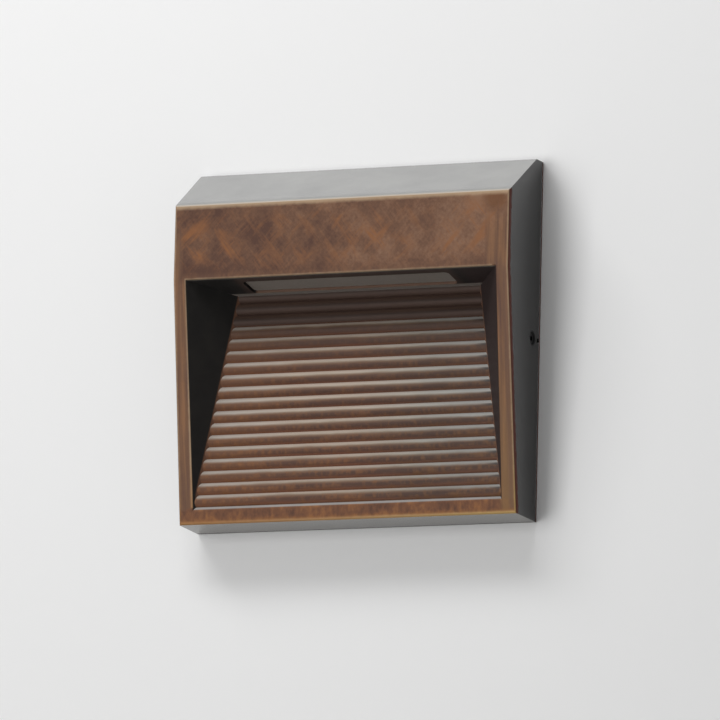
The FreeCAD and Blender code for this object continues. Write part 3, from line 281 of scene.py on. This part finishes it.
for share in (worked, leftward, rise, fall, scored):
    coppered = add(tree, "Math", {0: coppered, 1: share}, operation="MULTIPLY")
to_corner = add(tree, "VectorMath", {0: millimetres, 1: stain_centre}, operation="DISTANCE")
blotted = add(tree, "Math", {0: clouds, 1: -stain_spread, 2: to_corner}, operation="MULTIPLY_ADD")
stain = add(tree, "MapRange", {"Value": blotted, "From Min": 2.0, "From Max": -2.0, "To Max": 0.8})
for share, colour in ((coppered, "#84522a"), (stain, "#683f1c")):
    hood = add(tree, "Mix", {0: share, 6: hood, 7: linear(colour)}, data_type="RGBA")

# On the frame, and up the ends of the hood, the strokes run up, and on the lip they are short
frame_stroke, lip_stroke = (1.2, 6.0, 45.0), (1.6, 6.0, 3.0)
end_edge, end_shift, end_top, end_foot, ragged = 63.0, 3.0, 59.0, 50.0, 24.0
post_top, post_full = 27.0, 22.0
upright = add(tree, "Mapping", {"Vector": millimetres, "Scale": frame_stroke}, vector_type="TEXTURE")
frame_strokes = add(tree, "TexNoise", {"Vector": upright, "Scale": 1.0, "Detail": 3.0})
brushed = add(tree, "Mix", {0: 0.3, 2: frame_strokes, 3: grained})
post = add(tree, "ValToRGB", {"Fac": brushed}, ((0.36, "#5b3d2f"), (0.5, "#6d4c34"), (0.62, "#815a3c")))
shifted = add(tree, "Math", {0: x, 1: end_shift}, operation="ADD")
aside = add(tree, "Math", {0: shifted}, operation="ABSOLUTE")
at_end = add(tree, "MapRange", {"Value": aside, "From Min": end_edge - 1.0, "From Max": end_edge + 1.0})
uneven_top = add(tree, "Math", {0: frame_strokes, 1: ragged, 2: z}, operation="MULTIPLY_ADD")
low_end = add(tree, "MapRange", {"Value": uneven_top, "From Min": end_top, "From Max": end_foot})
hood_end = add(tree, "Math", {0: at_end, 1: low_end}, operation="MULTIPLY")
on_post = add(tree, "MapRange", {"Value": z, "From Min": post_top, "From Max": post_full})
end_rub = add(tree, "Math", {0: hood_end, 1: on_post}, operation="MAXIMUM")
framed = add(tree, "Mix", {0: end_rub, 6: hood, 7: post}, data_type="RGBA")
short = add(tree, "Mapping", {"Vector": millimetres, "Scale": lip_stroke}, vector_type="TEXTURE")
dabs = add(tree, "TexNoise", {"Vector": short, "Scale": 1.0, "Detail": 3.0})
dabbed = add(tree, "Mix", {0: 0.5, 2: dabs, 3: clouds})
lip = add(tree, "ValToRGB", {"Fac": dabbed}, ((0.34, "#543321"), (0.5, "#6f462b"), (0.64, "#875831")))
on_lip = add(tree, "Math", {0: under, 1: at_end}, operation="SUBTRACT", use_clamp=True)
front_rub = add(tree, "Mix", {0: on_lip, 6: framed, 7: lip}, data_type="RGBA")

# The right post turns golden towards its foot, beside a dark streak that the pad missed, and the toe is
# worn to copper
post_edge, golden_head, golden_foot, streak_x, toe_fray = 63.5, -10.0, -60.0, 67.6, 3.0
right_post = add(tree, "MapRange", {"Value": x, "From Min": post_edge - 1.0, "From Max": post_edge + 1.0})
downward = add(
    tree, "MapRange", {"Value": z, "From Min": golden_head, "From Max": golden_foot, "To Max": 0.6}
)
golden = add(tree, "Math", {0: right_post, 1: downward}, operation="MULTIPLY")
past_streak = add(tree, "Math", {0: x, 1: -streak_x}, operation="ADD")
from_streak = add(tree, "Math", {0: past_streak}, operation="ABSOLUTE")
streak = add(tree, "MapRange", {"Value": from_streak, "From Min": 1.6, "From Max": 0.4, "To Max": 0.5})
missed = add(tree, "Math", {0: streak, 1: on_post}, operation="MULTIPLY")
toe_wear = add(tree, "Math", {0: dabs, 1: -toe_fray, 2: from_toe}, operation="MULTIPLY_ADD")
toe_rub = add(
    tree, "MapRange", {"Value": toe_wear, "From Min": 1.2, "From Max": -1.0, "To Max": 0.75},
    interpolation_type="SMOOTHSTEP",
)
for share, colour in ((golden, "#87653b"), (missed, "#5d4236"), (toe_rub, "#8a5a2f")):
    front_rub = add(tree, "Mix", {0: share, 6: front_rub, 7: linear(colour)}, data_type="RGBA")

# A reed is painted light and shade by the way it faces: dark round its crest, lighter brown below and a
# pale painted highlight on its upper half. How far these reach round it varies with the stroke, with the
# height and, to the right, with the distance from the middle.
reed_stroke, panel_foot = (14.0, 6.0, 3.0), -58.0
low_from, high_from, high_to, thin_from, thin_to = -20.0, -18.0, 5.0, 25.0, 55.0
level = add(tree, "Mapping", {"Vector": millimetres, "Scale": reed_stroke}, vector_type="TEXTURE")
reed_streaks = add(tree, "TexNoise", {"Vector": level, "Scale": 1.0, "Detail": 4.0, "Roughness": 0.6})
patchy = add(tree, "Math", {0: reed_streaks, 1: 0.3, 2: -0.15}, operation="MULTIPLY_ADD")
lowness = add(
    tree, "MapRange",
    {"Value": z, "From Min": low_from, "From Max": panel_foot, "To Min": 0.02, "To Max": -0.16},
)
highness = add(
    tree, "MapRange",
    {"Value": z, "From Min": high_from, "From Max": high_to, "To Min": 0.03, "To Max": -0.12},
)
ends = add(tree, "Math", {0: lowness, 1: highness}, operation="ADD")
thinning = add(tree, "MapRange", {"Value": x, "From Min": thin_from, "From Max": thin_to, "To Max": -0.09})
thinned = add(tree, "Math", {0: ends, 1: thinning}, operation="ADD")
highlight_shift = add(tree, "Math", {0: patchy, 1: thinned}, operation="ADD")
tilt = add(tree, "Math", {0: up, 1: highlight_shift}, operation="ADD")
turn = add(tree, "MapRange", {"Value": tilt, "From Min": -0.8, "From Max": 0.8})
reed_shading_and_flecks = add(
    tree, "ValToRGB", {"Fac": turn},
    (
        (0.09, "#7a4f3b"), (0.2, "#5c3c2e"), (0.32, "#4d3225"), (0.44, "#4f3427"), (0.52, "#5d4233"),
        (0.61, "#6e5443"), (0.7, "#857261"), (0.8, "#a6998b"), (0.9, "#b6a89b"),
    ),
)

# The painted highlight is greyer towards both ends of a reed, and copper shows in flecks, most at the
# bottom of the panel and at its left end
grey_from, grey_to, fleck_head, left_from, left_to = 25.0, 50.0, 10.0, -20.0, -48.0
greying = add(tree, "MapRange", {"Value": across, "From Min": grey_from, "From Max": grey_to, "To Max": 0.6})
reed_highlight = add(tree, "MapRange", {"Value": turn, "From Min": 0.55, "From Max": 0.8})
grey_highlight_share = add(tree, "Math", {0: greying, 1: reed_highlight}, operation="MULTIPLY")
speckle = add(tree, "Mix", {0: 0.5, 2: reed_streaks, 3: dabs})
flecks = add(tree, "MapRange", {"Value": speckle, "From Min": 0.47, "From Max": 0.65})
lower = add(
    tree, "MapRange",
    {"Value": z, "From Min": fleck_head, "From Max": panel_foot, "To Min": 0.3, "To Max": 0.8},
)
faces_out = add(tree, "MapRange", {"Value": turn, "From Min": 0.75, "From Max": 0.55})
left_end = add(tree, "MapRange", {"Value": x, "From Min": left_from, "From Max": left_to, "To Max": 0.35})
fleck_weight = add(tree, "Math", {0: flecks, 1: lower}, operation="MULTIPLY")
flecked = add(tree, "Math", {0: fleck_weight, 1: left_end}, operation="ADD", use_clamp=True)
fleck_share = add(tree, "Math", {0: flecked, 1: faces_out}, operation="MULTIPLY")

# Against the recess's right cheek each crest has a dark wedge of painted reflection of the cheek, and the
# right half of the panel is cooler in tone
cheek_base, flare, cheek_rise = 42.94, math.tan(math.radians(35.0)), -0.0942
wedge_root, wedge_tip, cool_from, cool_to = 1.0, 5.0, 0.0, 30.0
cheek_foot = add(tree, "Math", {0: depth, 1: flare, 2: cheek_base}, operation="MULTIPLY_ADD")
cheek = add(tree, "Math", {0: z, 1: cheek_rise, 2: cheek_foot}, operation="MULTIPLY_ADD")
to_cheek = add(tree, "Math", {0: cheek, 1: x}, operation="SUBTRACT")
reflection_wedge = add(
    tree, "MapRange", {"Value": to_cheek, "From Min": wedge_tip, "From Max": wedge_root, "To Max": 0.75}
)
below_haze = add(tree, "MapRange", {"Value": turn, "From Min": 0.72, "From Max": 0.66})
above_belly = add(tree, "MapRange", {"Value": turn, "From Min": 0.46, "From Max": 0.56})
crest_band = add(tree, "Math", {0: below_haze, 1: above_belly}, operation="MULTIPLY")
painted_cheek_reflection = add(tree, "Math", {0: reflection_wedge, 1: crest_band}, operation="MULTIPLY")
for share, colour in ((grey_highlight_share, "#a5a09b"), (fleck_share, "#7b4f2d"), (painted_cheek_reflection, "#2e2a2b")):
    reed_shading_and_flecks = add(tree, "Mix", {0: share, 6: reed_shading_and_flecks, 7: linear(colour)}, data_type="RGBA")
cooler = add(tree, "MapRange", {"Value": x, "From Min": cool_from, "From Max": cool_to})
cool_reed = add(
    tree, "Mix", {0: cooler, 6: reed_shading_and_flecks, 7: linear("#ebf7ff")}, data_type="RGBA", blend_type="MULTIPLY"
)

# Painted shade of the hood darkens the reeds towards it, and the closest lose their painted highlight. The
# edge of the lens opening behind the glass is a lighter brown
dim_foot, dim_head, lit_top, hood_shadow_foot, opening_edge = -8.0, 9.0, 8.5, 9.1, 20.95
hood_shadow = add(tree, "MapRange", {"Value": z, "From Min": lit_top, "From Max": hood_shadow_foot})
shadow_reed = add(tree, "ValToRGB", {"Fac": turn}, ((0.2, "#453229"), (0.5, "#36261e"), (0.75, "#544036")))
nearing = add(tree, "MapRange", {"Value": z, "From Min": dim_foot, "From Max": dim_head})
dimmed = add(tree, "Math", {0: nearing, 1: faces_out}, operation="MULTIPLY")
hood_shade_share = add(tree, "Math", {0: dimmed, 1: 0.7}, operation="MULTIPLY")
hood_shaded_reed = add(tree, "Mix", {0: hood_shade_share, 6: cool_reed, 7: linear("#3d291e")}, data_type="RGBA")
panel = add(tree, "Mix", {0: hood_shadow, 6: hood_shaded_reed, 7: shadow_reed}, data_type="RGBA")
opening = add(
    tree, "MapRange", {"Value": z, "From Min": opening_edge - 0.15, "From Max": opening_edge + 0.15}
)
behind_glass = add(tree, "Mix", {0: opening, 6: panel, 7: linear("#6f5647")}, data_type="RGBA")
shade = add(tree, "Mix", {0: in_recess, 6: front_rub, 7: behind_glass}, data_type="RGBA")

# The pad reaches what faces the front, on the front itself or in the recess
pad_full, pad_reach = 2.0, 3.0
turned_front = add(
    tree, "MapRange", {"Value": ahead, "From Min": 0.35, "From Max": 0.5}, interpolation_type="SMOOTHSTEP"
)
square = add(tree, "MapRange", {"Value": sideways, "From Min": 0.65, "From Max": 0.45})
near_front = add(tree, "MapRange", {"Value": behind, "From Min": pad_reach, "From Max": pad_full})
open_to_pad = add(tree, "Math", {0: near_front, 1: in_recess}, operation="MAXIMUM")
to_front = add(tree, "Math", {0: turned_front, 1: square}, operation="MULTIPLY")
reached = add(tree, "Math", {0: to_front, 1: open_to_pad}, operation="MULTIPLY")

# Elsewhere the lacquer is near black: warmer on the recess's right cheek, brown between the ends of the
# reeds and along the lens. Behind the lens it carries painted light, and on the underside a pale painted
# reflection.
brown_half, window_back, cheek_from, cheek_to = 44.5, 15.8, 45.0, 50.0
turned_down = add(tree, "MapRange", {"Value": up, "From Min": -0.6, "From Max": -0.9})
soffit = add(tree, "Math", {0: turned_down, 1: in_recess}, operation="MULTIPLY")
along_lens = add(
    tree, "MapRange", {"Value": across, "From Min": brown_half + 1.5, "From Max": brown_half - 1.5}
)
brown = add(tree, "Math", {0: soffit, 1: along_lens}, operation="MULTIPLY")
rear = add(tree, "MapRange", {"Value": depth, "From Min": window_back + 0.2, "From Max": window_back - 0.2})
lens_back_light = add(tree, "Math", {0: soffit, 1: rear}, operation="MULTIPLY")
underside_reflection = add(tree, "Math", {0: turned_down, 1: in_recess}, operation="SUBTRACT", use_clamp=True)
crest_depth, panel_lean = 14.94, math.tan(math.radians(5.4))
crest = add(tree, "Math", {0: z, 1: -panel_lean, 2: crest_depth}, operation="MULTIPLY_ADD")
proud = add(tree, "Math", {0: depth, 1: crest}, operation="SUBTRACT")
between = add(tree, "MapRange", {"Value": proud, "From Min": 0.5, "From Max": 0.1})
reed_ends = add(tree, "Math", {0: between, 1: in_recess}, operation="MULTIPLY")
right_half = add(tree, "MapRange", {"Value": x, "From Min": cheek_from, "From Max": cheek_to})
right_cheek = add(tree, "Math", {0: right_half, 1: lining}, operation="MULTIPLY")
dark = add(tree, "ValToRGB", {"Fac": clouds}, ((0.35, "#171616"), (0.65, "#211f1d")))
for share, colour in (
    (right_cheek, "#2a1e1d"), (reed_ends, "#6e4d3a"), (underside_reflection, "#625e59"), (brown, "#3c2e29"),
    (lens_back_light, "#7e7670"),
):
    dark = add(tree, "Mix", {0: share, 6: dark, 7: linear(colour)}, data_type="RGBA")
lacquer = add(tree, "Mix", {0: reached, 6: dark, 7: shade}, data_type="RGBA")

# Painted shade darkens the set screw's hole and the ring round it
hole_y, hole_z, hole_shade_full, hole_shade_reach = -7.7, 0.0, 2.4, 3.4
hole = add(tree, "CombineXYZ", {"X": x, "Y": hole_y, "Z": hole_z})
from_axis = add(tree, "VectorMath", {0: millimetres, 1: hole}, operation="DISTANCE")
hole_shade = add(tree, "MapRange", {"Value": from_axis, "From Min": hole_shade_reach, "From Max": hole_shade_full})
hole_shaded = add(tree, "Mix", {0: hole_shade, 6: lacquer, 7: linear("#0c0c0c")}, data_type="RGBA")

# Outside the recess a grey painted highlight lies on what faces up, faintly cloudy and thinner low down
highlight_size, highlight_low, highlight_high = 18.0, 0.0, 40.0
highlight_lowering = add(
    tree, "MapRange", {"Value": z, "From Min": highlight_low, "From Max": highlight_high, "To Min": 0.1, "To Max": 0.0}
)
upward = add(tree, "Math", {0: up, 1: highlight_lowering}, operation="SUBTRACT")
turned_up = add(
    tree, "MapRange", {"Value": upward, "From Min": 0.32, "From Max": 0.5}, interpolation_type="SMOOTHSTEP"
)
wide_ledge = add(tree, "Math", {0: turned_up, 1: in_recess}, operation="SUBTRACT", use_clamp=True)
high = add(tree, "MapRange", {"Value": z, "From Min": highlight_low, "From Max": highlight_high, "To Min": 0.85})
ledge_clear_of_hole = add(tree, "Math", {0: wide_ledge, 1: hole_shade}, operation="SUBTRACT", use_clamp=True)
top_highlight_share = add(tree, "Math", {0: ledge_clear_of_hole, 1: high}, operation="MULTIPLY")
drift = add(tree, "TexNoise", {"Vector": millimetres, "Scale": 1 / highlight_size, "Detail": 4.0})
top_highlight = add(tree, "ValToRGB", {"Fac": drift}, ((0.3, "#9a9a99"), (0.7, "#a6a6a4")))
top_highlighted = add(tree, "Mix", {0: top_highlight_share, 6: hole_shaded, 7: top_highlight}, data_type="RGBA")

# Red-brown primer shows on the sides behind the front corner and along the back edge
fray_size, corner_fray = 2.5, 2.5
fray = add(tree, "TexNoise", {"Vector": millimetres, "Scale": 1 / fray_size, "Detail": 3.0})
frayed = add(tree, "Math", {0: fray, 1: -0.8, 2: 0.4}, operation="MULTIPLY_ADD")
worn_behind = add(tree, "Math", {0: frayed, 1: corner_fray, 2: behind}, operation="MULTIPLY_ADD")
behind_corner = add(
    tree, "MapRange", {"Value": worn_behind, "From Min": 3.0, "From Max": 1.2},
    interpolation_type="SMOOTHSTEP",
)
outer_side = add(tree, "MapRange", {"Value": beside, "From Min": 1.0, "From Max": 2.0})
corner = add(tree, "Math", {0: behind_corner, 1: outer_side}, operation="MULTIPLY")
worn_back = add(tree, "Math", {0: depth, 1: frayed}, operation="ADD")
back_edge = add(tree, "MapRange", {"Value": worn_back, "From Min": 1.3, "From Max": 0.4})
bared = add(tree, "Math", {0: corner, 1: back_edge}, operation="MAXIMUM")
flanks = add(tree, "MapRange", {"Value": sideways, "From Min": 0.55, "From Max": 0.75})
primer = add(tree, "Math", {0: bared, 1: flanks}, operation="MULTIPLY")
primed = add(tree, "Mix", {0: primer, 6: top_highlighted, 7: linear("#5c2d22")}, data_type="RGBA")

# Gold where the rubbing went through along the edges, frayed, with a pale painted highlight where they
# face up, brassy at the lower right and coppery at the lower left. The right side of the mouth stays dark.
right_jamb, gold_low_from, gold_low_to, gold_half, gold_fray = 62.8, -45.0, -66.0, 60.0, 0.5
right_side = add(
    tree, "MapRange",
    {"Value": x, "From Min": right_jamb - 0.4, "From Max": right_jamb + 0.4, "To Min": 0.3, "To Max": 1.2},
)
thinner = add(tree, "Math", {0: inner, 1: right_side}, operation="ADD")
edge = add(tree, "Math", {0: outer, 1: thinner}, operation="MINIMUM")
worn = add(tree, "Math", {0: frayed, 1: gold_fray, 2: edge}, operation="MULTIPLY_ADD")
gold = add(
    tree, "MapRange", {"Value": worn, "From Min": 0.2, "From Max": 1.1, "To Min": 0.8, "To Max": 0.0},
    interpolation_type="SMOOTHSTEP",
)
off_flank = add(tree, "MapRange", {"Value": sideways, "From Min": 0.75, "From Max": 0.5})
gilt = add(tree, "Math", {0: gold, 1: off_flank}, operation="MULTIPLY")
edge_highlight = add(tree, "MapRange", {"Value": up, "From Min": 0.1, "From Max": 0.4})
lower_edge = add(tree, "MapRange", {"Value": z, "From Min": gold_low_from, "From Max": gold_low_to})
rightward = add(tree, "MapRange", {"Value": x, "From Min": -gold_half, "From Max": gold_half})
brassy = add(tree, "Math", {0: lower_edge, 1: rightward}, operation="MULTIPLY")
coppery = add(tree, "Math", {0: lower_edge, 1: rightward}, operation="SUBTRACT", use_clamp=True)
metal_tone = linear("#b2987a")
for share, colour in ((brassy, "#bb9d62"), (coppery, "#a67a49"), (edge_highlight, "#c4b9aa")):
    metal_tone = add(tree, "Mix", {0: share, 6: metal_tone, 7: linear(colour)}, data_type="RGBA")
add(tree, "Mix", {0: gilt, 6: primed, 7: metal_tone}, to=shader.inputs["Base Color"], data_type="RGBA")

# The rubbed metal is about a third bare, the reeds in the hood's painted shade a little more so. It is
# matt, as is the lining of the recess, and primer and the painted shade at the set screw's hole are dull.
# The lacquer elsewhere has a soft gloss. All of it has a faint orange peel, drawn coarser than it is.
bare_share, hood_shadow_extra = 0.3, 0.1
gloss, dullest, peel_depth = 0.16, 0.9, 0.04
off_top_highlight = add(tree, "Math", {0: 1.0, 1: top_highlight_share}, operation="SUBTRACT")
rubbed = add(tree, "Math", {0: reached, 1: off_top_highlight}, operation="MULTIPLY")
hood_shadow_in_recess = add(tree, "Math", {0: hood_shadow, 1: in_recess}, operation="MULTIPLY")
bareness = add(tree, "Math", {0: hood_shadow_in_recess, 1: hood_shadow_extra, 2: bare_share}, operation="MULTIPLY_ADD")
metal = add(tree, "Math", {0: rubbed, 1: gilt}, operation="MAXIMUM")
add(tree, "Math", {0: metal, 1: bareness}, to=shader.inputs["Metallic"], operation="MULTIPLY")
matt = add(tree, "MapRange", {"Value": grained, "To Min": 0.52, "To Max": 0.68})
dull = add(tree, "Math", {0: reached, 1: lining}, operation="MAXIMUM")
sheen = add(tree, "Mix", {0: dull, 2: gloss, 3: matt})
powdery = add(tree, "Math", {0: primer, 1: hole_shade}, operation="MAXIMUM")
add(tree, "Mix", {0: powdery, 2: sheen, 3: dullest}, to=shader.inputs["Roughness"])
peel = {"Height": grain, "Strength": 0.3, "Distance": peel_depth / per_metre}
add(tree, "Bump", peel, to=shader.inputs["Normal"])
dress(bronze, "housing")


# Lens: a strip of frosted glass under the hood, pressed on its gasket from above by a stamped zinc
# clamp. The etched face scatters the light and shows no source.

etch_size = 0.0012
frosted, tree, shader, place = start("acid_etched_glass", 0.55)
etch = add(tree, "TexNoise", {"Vector": place, "Scale": 1 / etch_size, "Detail": 3.0})
# The warm tint of the glass is a painted reflection of the brown reeds below it
add(tree, "ValToRGB", {"Fac": etch}, ((0.0, "#928b84"), (1.0, "#a89f98")), shader.inputs["Base Color"])
shader.inputs["Transmission Weight"].default_value = 0.3
shader.inputs["IOR"].default_value = 1.5
dress(frosted, "lens")
dress(zinc, "lens_clamp")


# LED bracket: a bent aluminium strip, left as it came from the mill, that carries the board and takes
# its heat into the casting. The rolls leave fine pale lines along it.

line_length, line_width = 0.03, 0.0006
mill, tree, shader, place = start("mill_finish_aluminium", 0.35, 1.0)
rolled = add(
    tree, "Mapping", {"Vector": place, "Scale": (line_length, line_width, line_width)}, vector_type="TEXTURE"
)
lines = add(tree, "TexNoise", {"Vector": rolled, "Scale": 1.0, "Detail": 3.0})
add(tree, "ValToRGB", {"Fac": lines}, ((0.0, "#a9acae"), (1.0, "#d6d8d8")), shader.inputs["Base Color"])
dress(mill, "led_bracket")


# Heat pad, board and LEDs: a soft grey silicone pad with a fine filler, a metal-core board whose tracks
# show faintly through its white solder mask, and a row of packages with yellow phosphor.

filler_size, track_pitch, speck_size = 0.001, 0.006, 0.0006
silicone, tree, shader, place = start("grey_heat_silicone", 0.75)
filler = add(tree, "TexNoise", {"Vector": place, "Scale": 1 / filler_size, "Detail": 4.0})
add(tree, "ValToRGB", {"Fac": filler}, ((0.0, "#7f8a95"), (1.0, "#a3acb4")), shader.inputs["Base Color"])
dress(silicone, "thermal_pad")

mask, tree, shader, place = start("white_solder_mask", 0.4)
tracks = add(tree, "TexVoronoi", {"Vector": place, "Scale": 1 / track_pitch}, distance="MANHATTAN")
add(tree, "ValToRGB", {"Fac": tracks}, ((0.0, "#d6d6d2"), (1.0, "#efefec")), shader.inputs["Base Color"])
dress(mask, "led_board")

phosphor, tree, shader, place = start("yellow_phosphor_resin", 0.3)
specks = add(tree, "TexNoise", {"Vector": place, "Scale": 1 / speck_size, "Detail": 2.0})
add(tree, "ValToRGB", {"Fac": specks}, ((0.0, "#d9b23a"), (1.0, "#f0d66a")), shader.inputs["Base Color"])
dress(phosphor, "led_emitters")


# Connector, clip and terminal: moulded in natural nylon, for the ends of the leads, their run behind the
# panel and the supply. Off-white and a little translucent, with a faint milky flow.

flow_size, glow_depth = 0.004, (0.001, 0.0008, 0.0006)
nylon, tree, shader, place = start("natural_nylon", 0.45)
flow = add(tree, "TexNoise", {"Vector": place, "Scale": 1 / flow_size, "Detail": 2.0})
add(tree, "ValToRGB", {"Fac": flow}, ((0.0, "#d8d3c6"), (1.0, "#ece8dd")), shader.inputs["Base Color"])
shader.inputs["Subsurface Weight"].default_value = 0.1
shader.inputs["Subsurface Radius"].default_value = glow_depth
dress(nylon, "board_connector", "lead_clip", "driver_terminal")


# Leads: two short wires from the driver to the board, one red and one black. Their extruded PVC cover is
# satin and a little uneven in tone.

tone_size = 0.002
for name, dark, light in (("lead_red", "#8f1b17", "#b02a22"), ("lead_black", "#161616", "#2a2a2a")):
    cover, tree, shader, place = start(f"{name}_insulation", 0.4)
    tone = add(tree, "TexNoise", {"Vector": place, "Scale": 1 / tone_size, "Detail": 2.0})
    add(tree, "ValToRGB", {"Fac": tone}, ((0.0, dark), (1.0, light)), shader.inputs["Base Color"])
    dress(cover, name)


# Driver: a tray moulded in black polycarbonate and filled with dull grey resin, screwed on two bosses
# behind the reeded panel. The mould leaves a fine spark grain on the tray, and the resin sets in ripples.

spark_size, spark_depth, swirl_size, ripple_depth = 0.0004, 0.00008, 0.015, 0.0006
tray, tree, shader, place = start("black_polycarbonate", 0.5)
spark = add(tree, "TexNoise", {"Vector": place, "Scale": 1 / spark_size, "Detail": 2.0})
add(tree, "ValToRGB", {"Fac": spark}, ((0.0, "#1c1c1d"), (1.0, "#2c2c2d")), shader.inputs["Base Color"])
add(tree, "Bump", {"Height": spark, "Strength": 0.3, "Distance": spark_depth}, to=shader.inputs["Normal"])
dress(tray, "driver_case")

resin, tree, shader, place = start("grey_potting_resin", 0.35)
swirl = add(tree, "TexNoise", {"Vector": place, "Scale": 1 / swirl_size, "Detail": 3.0, "Distortion": 1.0})
add(tree, "ValToRGB", {"Fac": swirl}, ((0.0, "#3b3c3e"), (1.0, "#505153")), shader.inputs["Base Color"])
add(tree, "Bump", {"Height": swirl, "Strength": 0.2, "Distance": ripple_depth}, to=shader.inputs["Normal"])
dress(resin, "driver_potting")


# Set screws: headless steel screws with a hex socket, black from oxide and a film of oil, driven from
# each side against the plate's flanges.

oil_size = 0.0008
oxide, tree, shader, place = start("black_oxide_steel", 0.4, 0.6)
oil = add(tree, "TexNoise", {"Vector": place, "Scale": 1 / oil_size, "Detail": 3.0})
add(tree, "ValToRGB", {"Fac": oil}, ((0.0, "#141414"), (1.0, "#2e2d2d")), shader.inputs["Base Color"])
dress(oxide, "set_screw_left", "set_screw_right")


# Wall and floor: the pale painted wall behind the sconce and a pale floor below it. Both show only
# their near side and let through light from what lies against them, so that the back of the sconce can
# be seen, lit, from behind the wall.

wall_y, floor_z, reach, against = 0.0004, -1.1, 6.0, 0.0021


def sheet(name, corners, colour):
    """A flat stage sheet through four corners, clear from behind and for rays that start against it."""
    mesh = bpy.data.meshes.new(name)
    mesh.from_pydata(corners, [], [(0, 1, 2, 3)])
    stage = bpy.data.objects.new(name, mesh)
    bpy.context.scene.collection.objects.link(stage)
    paint, tree, shader, _ = start(f"{name}_paint", 0.8)
    shader.inputs["Base Color"].default_value = linear(colour)
    clear = add(tree, "BsdfTransparent")
    from_behind = add(tree, "NewGeometry").node.outputs["Backfacing"]
    travelled = add(tree, "LightPath").node.outputs["Ray Length"]
    close = add(tree, "Math", {0: travelled, 1: against}, operation="LESS_THAN")
    hidden = add(tree, "Math", {0: from_behind, 1: close}, operation="MAXIMUM")
    surface = tree.nodes["Material Output"].inputs["Surface"]
    add(tree, "MixShader", {0: hidden, 1: shader.outputs[0], 2: clear}, to=surface)
    mesh.materials.append(paint)
    stage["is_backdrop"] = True


sheet(
    "wall",
    [(-reach, wall_y, floor_z), (reach, wall_y, floor_z), (reach, wall_y, reach), (-reach, wall_y, reach)],
    "#f3f3f3",
)
sheet(
    "floor",
    [(-reach, -reach, floor_z), (reach, -reach, floor_z), (reach, reach, floor_z), (-reach, reach, floor_z)],
    "#e6e6e4",
)


# Light: a bank overhead and a little to the left, a fill from low on the left, and an even room. A lamp
# behind the wall lights the sconce's back for views from there. All lamps face the middle of the back.

for name, place, width, height, power in (
    ("overhead_bank", (-0.24, -0.7, 0.81), 1.05, 0.31, 6.75),
    ("front_fill", (-0.4, -1.15, -0.12), 0.5, 0.7, 6.0),
    ("rear_light", (0.0, 1.6, 0.5), 0.5, 0.5, 14.0),
):
    light = bpy.data.lights.new(name, "AREA")
    light.shape = "RECTANGLE"
    light.size = width
    light.size_y = height
    light.energy = power
    lamp = bpy.data.objects.new(name, light)
    lamp.location = place
    lamp.rotation_euler = (-Vector(place)).to_track_quat("-Z", "Y").to_euler()
    bpy.context.scene.collection.objects.link(lamp)

room_light = 0.19
world = bpy.data.worlds.new("room")
bpy.context.scene.world = world
world.use_nodes = True
background = world.node_tree.nodes["Background"]
background.inputs["Color"].default_value = linear("#ffffff")
background.inputs["Strength"].default_value = room_light


# Camera: a long lens from the right and a little below, as in the photograph. The lens and the sensor
# are in millimetres.

azimuth, elevation, roll = math.radians(21.87), math.radians(-9.68), math.radians(1.36)
target, distance, farthest = Vector((0.00194, -0.015, -0.00683)), 3.234, 100.0
focal_length, sensor_width = 420.6, 36.0
back = Vector((
    math.sin(azimuth) * math.cos(elevation),
    -math.cos(azimuth) * math.cos(elevation),
    math.sin(elevation),
))
level_right = Vector((math.cos(azimuth), math.sin(azimuth), 0.0))
level_up = back.cross(level_right)
tilted_right = level_right * math.cos(roll) + level_up * math.sin(roll)
tilted_up = level_up * math.cos(roll) - level_right * math.sin(roll)
lens = bpy.data.cameras.new("long_lens")
lens.sensor_fit = "HORIZONTAL"
lens.sensor_width = sensor_width
lens.lens = focal_length
lens.clip_end = farthest
camera = bpy.data.objects.new("camera", lens)
turned = Matrix((tilted_right, tilted_up, back)).transposed().to_4x4()
camera.matrix_world = Matrix.Translation(target + back * distance) @ turned
bpy.context.scene.collection.objects.link(camera)
bpy.context.scene.camera = camera
bpy.context.scene.view_settings.view_transform = "Standard"

low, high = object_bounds()
